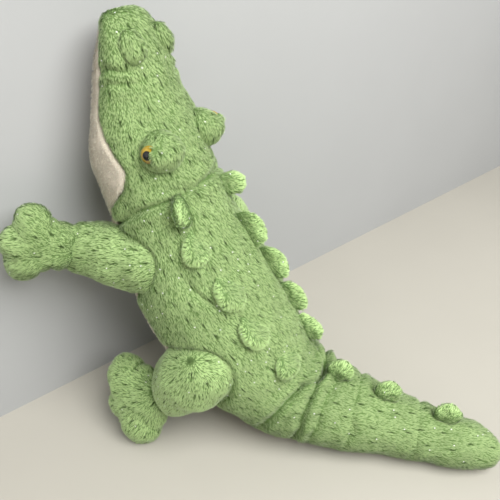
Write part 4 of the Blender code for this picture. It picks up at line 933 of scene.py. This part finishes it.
eye_spots = {side: [np.array(corner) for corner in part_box("eye_" + side)] for side in ("left", "right")}
dress("torso", bag_skin(WAIST_PLACE - 0.012, NECK_PLACE + 0.026, 0.006, (0.0, 1.0), 0.006, 0.007, 168,
                        crease=True, bald=(27.0, 0.3)), "torso", GREEN, 0.85, 101)
dress("head", bag_skin(NECK_PLACE + 0.013, LENGTH - 0.0005, 0.007, (0.0, TAIL + TORSO + 0.955 * HEAD), 0.006, 0.0,
                       124, bald=(60.0, 0.35)), NECK_HOLD, GREEN, 0.9, 102, length=0.0046)
dress("tail_base", bag_skin(BEND_PLACE - 0.010, WAIST_PLACE, 0.006, (0.0, 1.0), 0.006, 0.006, 112),
      WAIST_HOLD, GREEN, 0.85, 103)
dress("tail_tip", bag_skin(0.0005, BEND_PLACE + 0.002, 0.006, (0.09 * BEND_PLACE, 1.0), 0.0, 0.006, 88),
      BEND_HOLD, GREEN, 0.85, 104)
for i, (name, how, *sizes) in enumerate((
        ("belly_panel", "torso", WAIST_PLACE - 0.006, NECK_PLACE + 0.019, 0.006, 70, (0.0, 0.0)),
        ("jaw_panel", NECK_HOLD, NECK_PLACE + 0.018, HEAD_START + 0.952 * HEAD, 0.007, 90, (0.0, 0.008)),
        ("tail_base_panel", WAIST_HOLD, BEND_PLACE - 0.004, WAIST_PLACE - 0.005, 0.006, 44, (0.0, 0.0)),
        ("tail_tip_panel", BEND_HOLD, 0.011, BEND_PLACE - 0.003, 0.006, 36, (0.008, 0.0)))):
    dress(name, panel_skin(*sizes), how, CREAM, 0.8, 111 + i)

for i, (name, form) in enumerate(LIMBS.items()):
    along = np.linspace(0, form.length, 120)
    centres = form.axes(along)[0]
    out_at = along[np.argmax(fill_of(body, centres) > 1)]
    ends = form.axes(np.array([out_at - 0.004, out_at + 0.036]))[0]
    dress(name, limb_skin(form, name), ("torso", name, *ends), GREEN, 0.9, 120 + i)
    paw, *sizes = PAWS[name]
    centre, forward, side, up = form.axes(form.length)
    dress(paw, paw_skin(form, *sizes), (name, paw, centre, centre + forward * 0.024), GREEN, 0.9, 130 + i)

# name, place, angle, length, height, lean, curl, droop towards the tail, lift of the root, thickness, cup
NAPE = TAIL + 0.972 * TORSO
FLAPS = [("neck_flap_left", NAPE + 0.006, 32.0, 0.034, 0.027, 26.0, 34.0, 10.0, -0.003, 0.018, -0.002),
         ("neck_flap_right", NAPE, -31.0, 0.028, 0.026, -22.0, -26.0, 8.0, -0.004, 0.015, 0.004)]
for i, (share, angle) in enumerate(zip(RIGHT_SHARES, (28.0, 28.0, 28.0, 26.0))):
    FLAPS.append((f"back_flap_right_{i + 1}", TAIL + share * TORSO, -angle, 0.044, 0.024 - 0.0015 * i, -6.0,
                  -24.0, 16.0, -0.004, 0.014, 0.009))
for i, share in enumerate((0.873, 0.62, 0.318)):
    FLAPS.append((f"tail_flap_{i + 1}", share * TAIL, 0.0, 0.031, 0.024, -12.0, -24.0, 8.0, -0.004, 0.015,
                  0.003))
for i, (name, *sizes) in enumerate(FLAPS):
    dress(name, flap_skin(*sizes, 40 + i), name, FLAP_CLOTH, 0.8, 140 + i)
# how far ahead of its place on the seam, angle, length along the seam, breadth across it, height of the rim
LOBES = ((0.005, 27.0, 0.042, 0.038, 0.0180), (-0.001, 22.0, 0.047, 0.043, 0.0195),
         (0.000, 24.5, 0.045, 0.042, 0.0195), (-0.012, 19.5, 0.050, 0.050, 0.0225))
for i, (share, (ahead, *sizes)) in enumerate(zip(LEFT_SHARES, LOBES)):
    name = f"back_flap_left_{i + 1}"
    dress(name, lobe_skin(TAIL + share * TORSO + ahead, *sizes, 80 + i), name, FLAP_CLOTH, 0.8, 180 + i)


def lidded(skin, middle, outward, towards):
    """Bulge a brow's skin into a soft lid over the inner side of its eye."""
    delta = skin.points - middle
    towards = unit(towards - outward * (towards @ outward))
    inner, along = delta @ towards, delta @ np.cross(outward, towards)
    shape = smooth((inner - 0.0015) / 0.005) * smooth((0.024 - inner) / 0.016) * bump(along, 0.0, 0.0125)
    skin.points = skin.points + outward * (0.0068 * shape * (delta @ outward > 0))[:, None]
    skin.normals = point_normals(skin.points, skin.triangles)
    skin.comb = skin.comb - towards * (1.2 * shape * (inner < 0.010))[:, None]
    return skin


def clear_of_eye(middle, outward):
    def bare(spots):
        delta = spots - middle
        height = delta @ outward
        reach = np.linalg.norm(delta - outward * height[:, None], axis=1)
        return (reach > 0.0096) | (height > 0.0080)
    return bare


for side, way in (("left", 1), ("right", -1)):
    middle = np.mean(eye_spots[side], axis=0)
    outward = unit(np.mean([np.array(corner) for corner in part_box("pupil_" + side)], axis=0) - middle)
    place, angle = HEAD_START + 0.325 * HEAD, 34.0 * way
    top = surface_spot(place, np.radians(angle), 0.0, 0.0, 0.024)
    brow = lidded(dome_skin(place, angle, 0.052, 0.046, 0.024, 60), middle, outward, top - middle)
    dress("brow_" + side, brow, "head", GREEN, 0.9, 160 + way, bare=clear_of_eye(middle, outward))
    nostril = dome_skin(HEAD_START + 0.824 * HEAD, 32.0 * way, 0.030, 0.026, 0.011, 63)
    dress("nostril_" + side, nostril, "head", GREEN, 0.9, 164 + way, length=0.0060)


# ---------------------------------------------------------------- eyes
def eye_material(name, side, stops):
    """Moulded plastic that deepens towards its rim, under a clear gloss."""
    finish, tree, shader = new_material(name, 0.12, coat=0.1 if name.startswith("black") else 0.6)
    shader.inputs["Coat Roughness"].default_value = 0.05
    low, high = eye_spots[side]
    place = node(tree, "ShaderNodeTexCoord")
    reach = node(tree, "ShaderNodeVectorMath", operation="DISTANCE")
    reach.inputs[1].default_value = tuple((low + high) / 2)
    tree.links.new(place.outputs["Object"], reach.inputs[0])
    colour = ramp(tree, ranged(tree, reach.outputs["Value"], 0.0, 1.0, 0.0, 0.0115), stops)
    colour = scaled(tree, colour, noise_value(tree, 500.0, 2.0, 0.85, 1.15))
    tree.links.new(colour, shader.inputs["Base Color"])
    return finish


for side in ("left", "right"):
    amber = eye_material("amber_eye_" + side, side, ((0.0, (0.10, 0.07, 0.01)), (0.5, (0.60, 0.44, 0.030)),
                                                      (0.80, (0.46, 0.31, 0.020)), (1.0, (0.05, 0.03, 0.01))))
    black = eye_material("black_pupil_" + side, side,
                         ((0.0, (0.003, 0.003, 0.003)), (1.0, (0.005, 0.005, 0.004))))
    white, tree, shader = new_material("washer_white_" + side, 0.5)
    mottle(tree, shader, 300.0, 2.0, (0.74, 0.74, 0.72), (0.82, 0.82, 0.80))
    for part, finish in (("eye_", amber), ("pupil_", black), ("eye_washer_", white)):
        for slot in frame["nodes"][part + side].material_slots:
            slot.material = finish


# ---------------------------------------------------------------- room, light and camera
def stage_plane(name, corners, colour, see_through):
    mesh = bpy.data.meshes.new(name)
    mesh.from_pydata([tuple(corner) for corner in corners], [], [(0, 1, 2, 3)])
    plane = placed(name, mesh)
    finish, tree, shader = new_material(name, 0.85)
    mottle(tree, shader, 5.0, 4.0, tuple(0.97 * c for c in colour), colour)
    if see_through:
        side = node(tree, "ShaderNodeNewGeometry")
        clear = node(tree, "ShaderNodeBsdfTransparent")
        mix = node(tree, "ShaderNodeMixShader")
        tree.links.new(side.outputs["Backfacing"], mix.inputs["Fac"])
        tree.links.new(shader.outputs["BSDF"], mix.inputs[1])
        tree.links.new(clear.outputs["BSDF"], mix.inputs[2])
        tree.links.new(mix.outputs["Shader"], tree.nodes["Material Output"].inputs["Surface"])
    mesh.materials.append(finish)


shift = np.array([SHIFT[0], SHIFT[1], 0.0])
stage_plane("floor", [(-3, -3, 0), (3, -3, 0), (3, 3, 0), (-3, 3, 0)], (0.52, 0.50, 0.445), False)
wall_way = unit(np.array([0.5747, 0.8183, 0.0]))
wall_along = np.array([-wall_way[1], wall_way[0], 0.0])
wall_spot = wall_way * (-0.482 + wall_way @ shift)
wall = [wall_spot + wall_along * x + np.array([0, 0, z]) for x, z in ((-3, 0), (3, 0), (3, 4.0), (-3, 4.0))]
stage_plane("wall", wall, (0.475, 0.485, 0.49), True)

camera_data = bpy.data.cameras.new("camera")
camera_data.sensor_width = 36.0
camera_data.lens = 541 / 500 * 36.0
camera = placed("camera", camera_data)
look = unit(np.array([-0.7850, -0.2340, -0.5736]))
right = np.array([-0.2857, 0.9583, 0.0])
right = unit(right - look * (right @ look))
above = np.cross(right, look)
eye = np.array([0.4929, -0.1914, 0.637]) + shift
camera.matrix_world = Matrix([[right[i], above[i], -look[i], eye[i]] for i in range(3)] + [[0, 0, 0, 1]])
camera_data.clip_start = 0.01
bpy.context.scene.camera = camera


def area_light(name, spot, target, size, power, colour):
    data = bpy.data.lights.new(name, "AREA")
    data.shape = "DISK"
    data.size = size
    data.energy = power
    data.color = colour
    lamp = placed(name, data)
    lamp.location = spot
    lamp.rotation_euler = (Vector(target) - Vector(spot)).to_track_quat("-Z", "Y").to_euler()


centre = tuple(shift + np.array([0.0, -0.30, 0.2]))
area_light("window", tuple(shift + np.array([0.52, 0.70, 1.67])), centre, 1.6, 54.0, (1.0, 0.99, 0.97))
area_light("fill", tuple(shift + np.array([0.95, -1.25, 0.95])), centre, 1.6, 7.0, (1.0, 0.985, 0.95))
world = bpy.data.worlds.new("studio")
world.use_nodes = True
world.node_tree.nodes["Background"].inputs["Color"].default_value = (1.0, 0.98, 0.94, 1.0)
world.node_tree.nodes["Background"].inputs["Strength"].default_value = 0.25
bpy.context.scene.world = world
bpy.context.scene.view_settings.view_transform = "Standard"
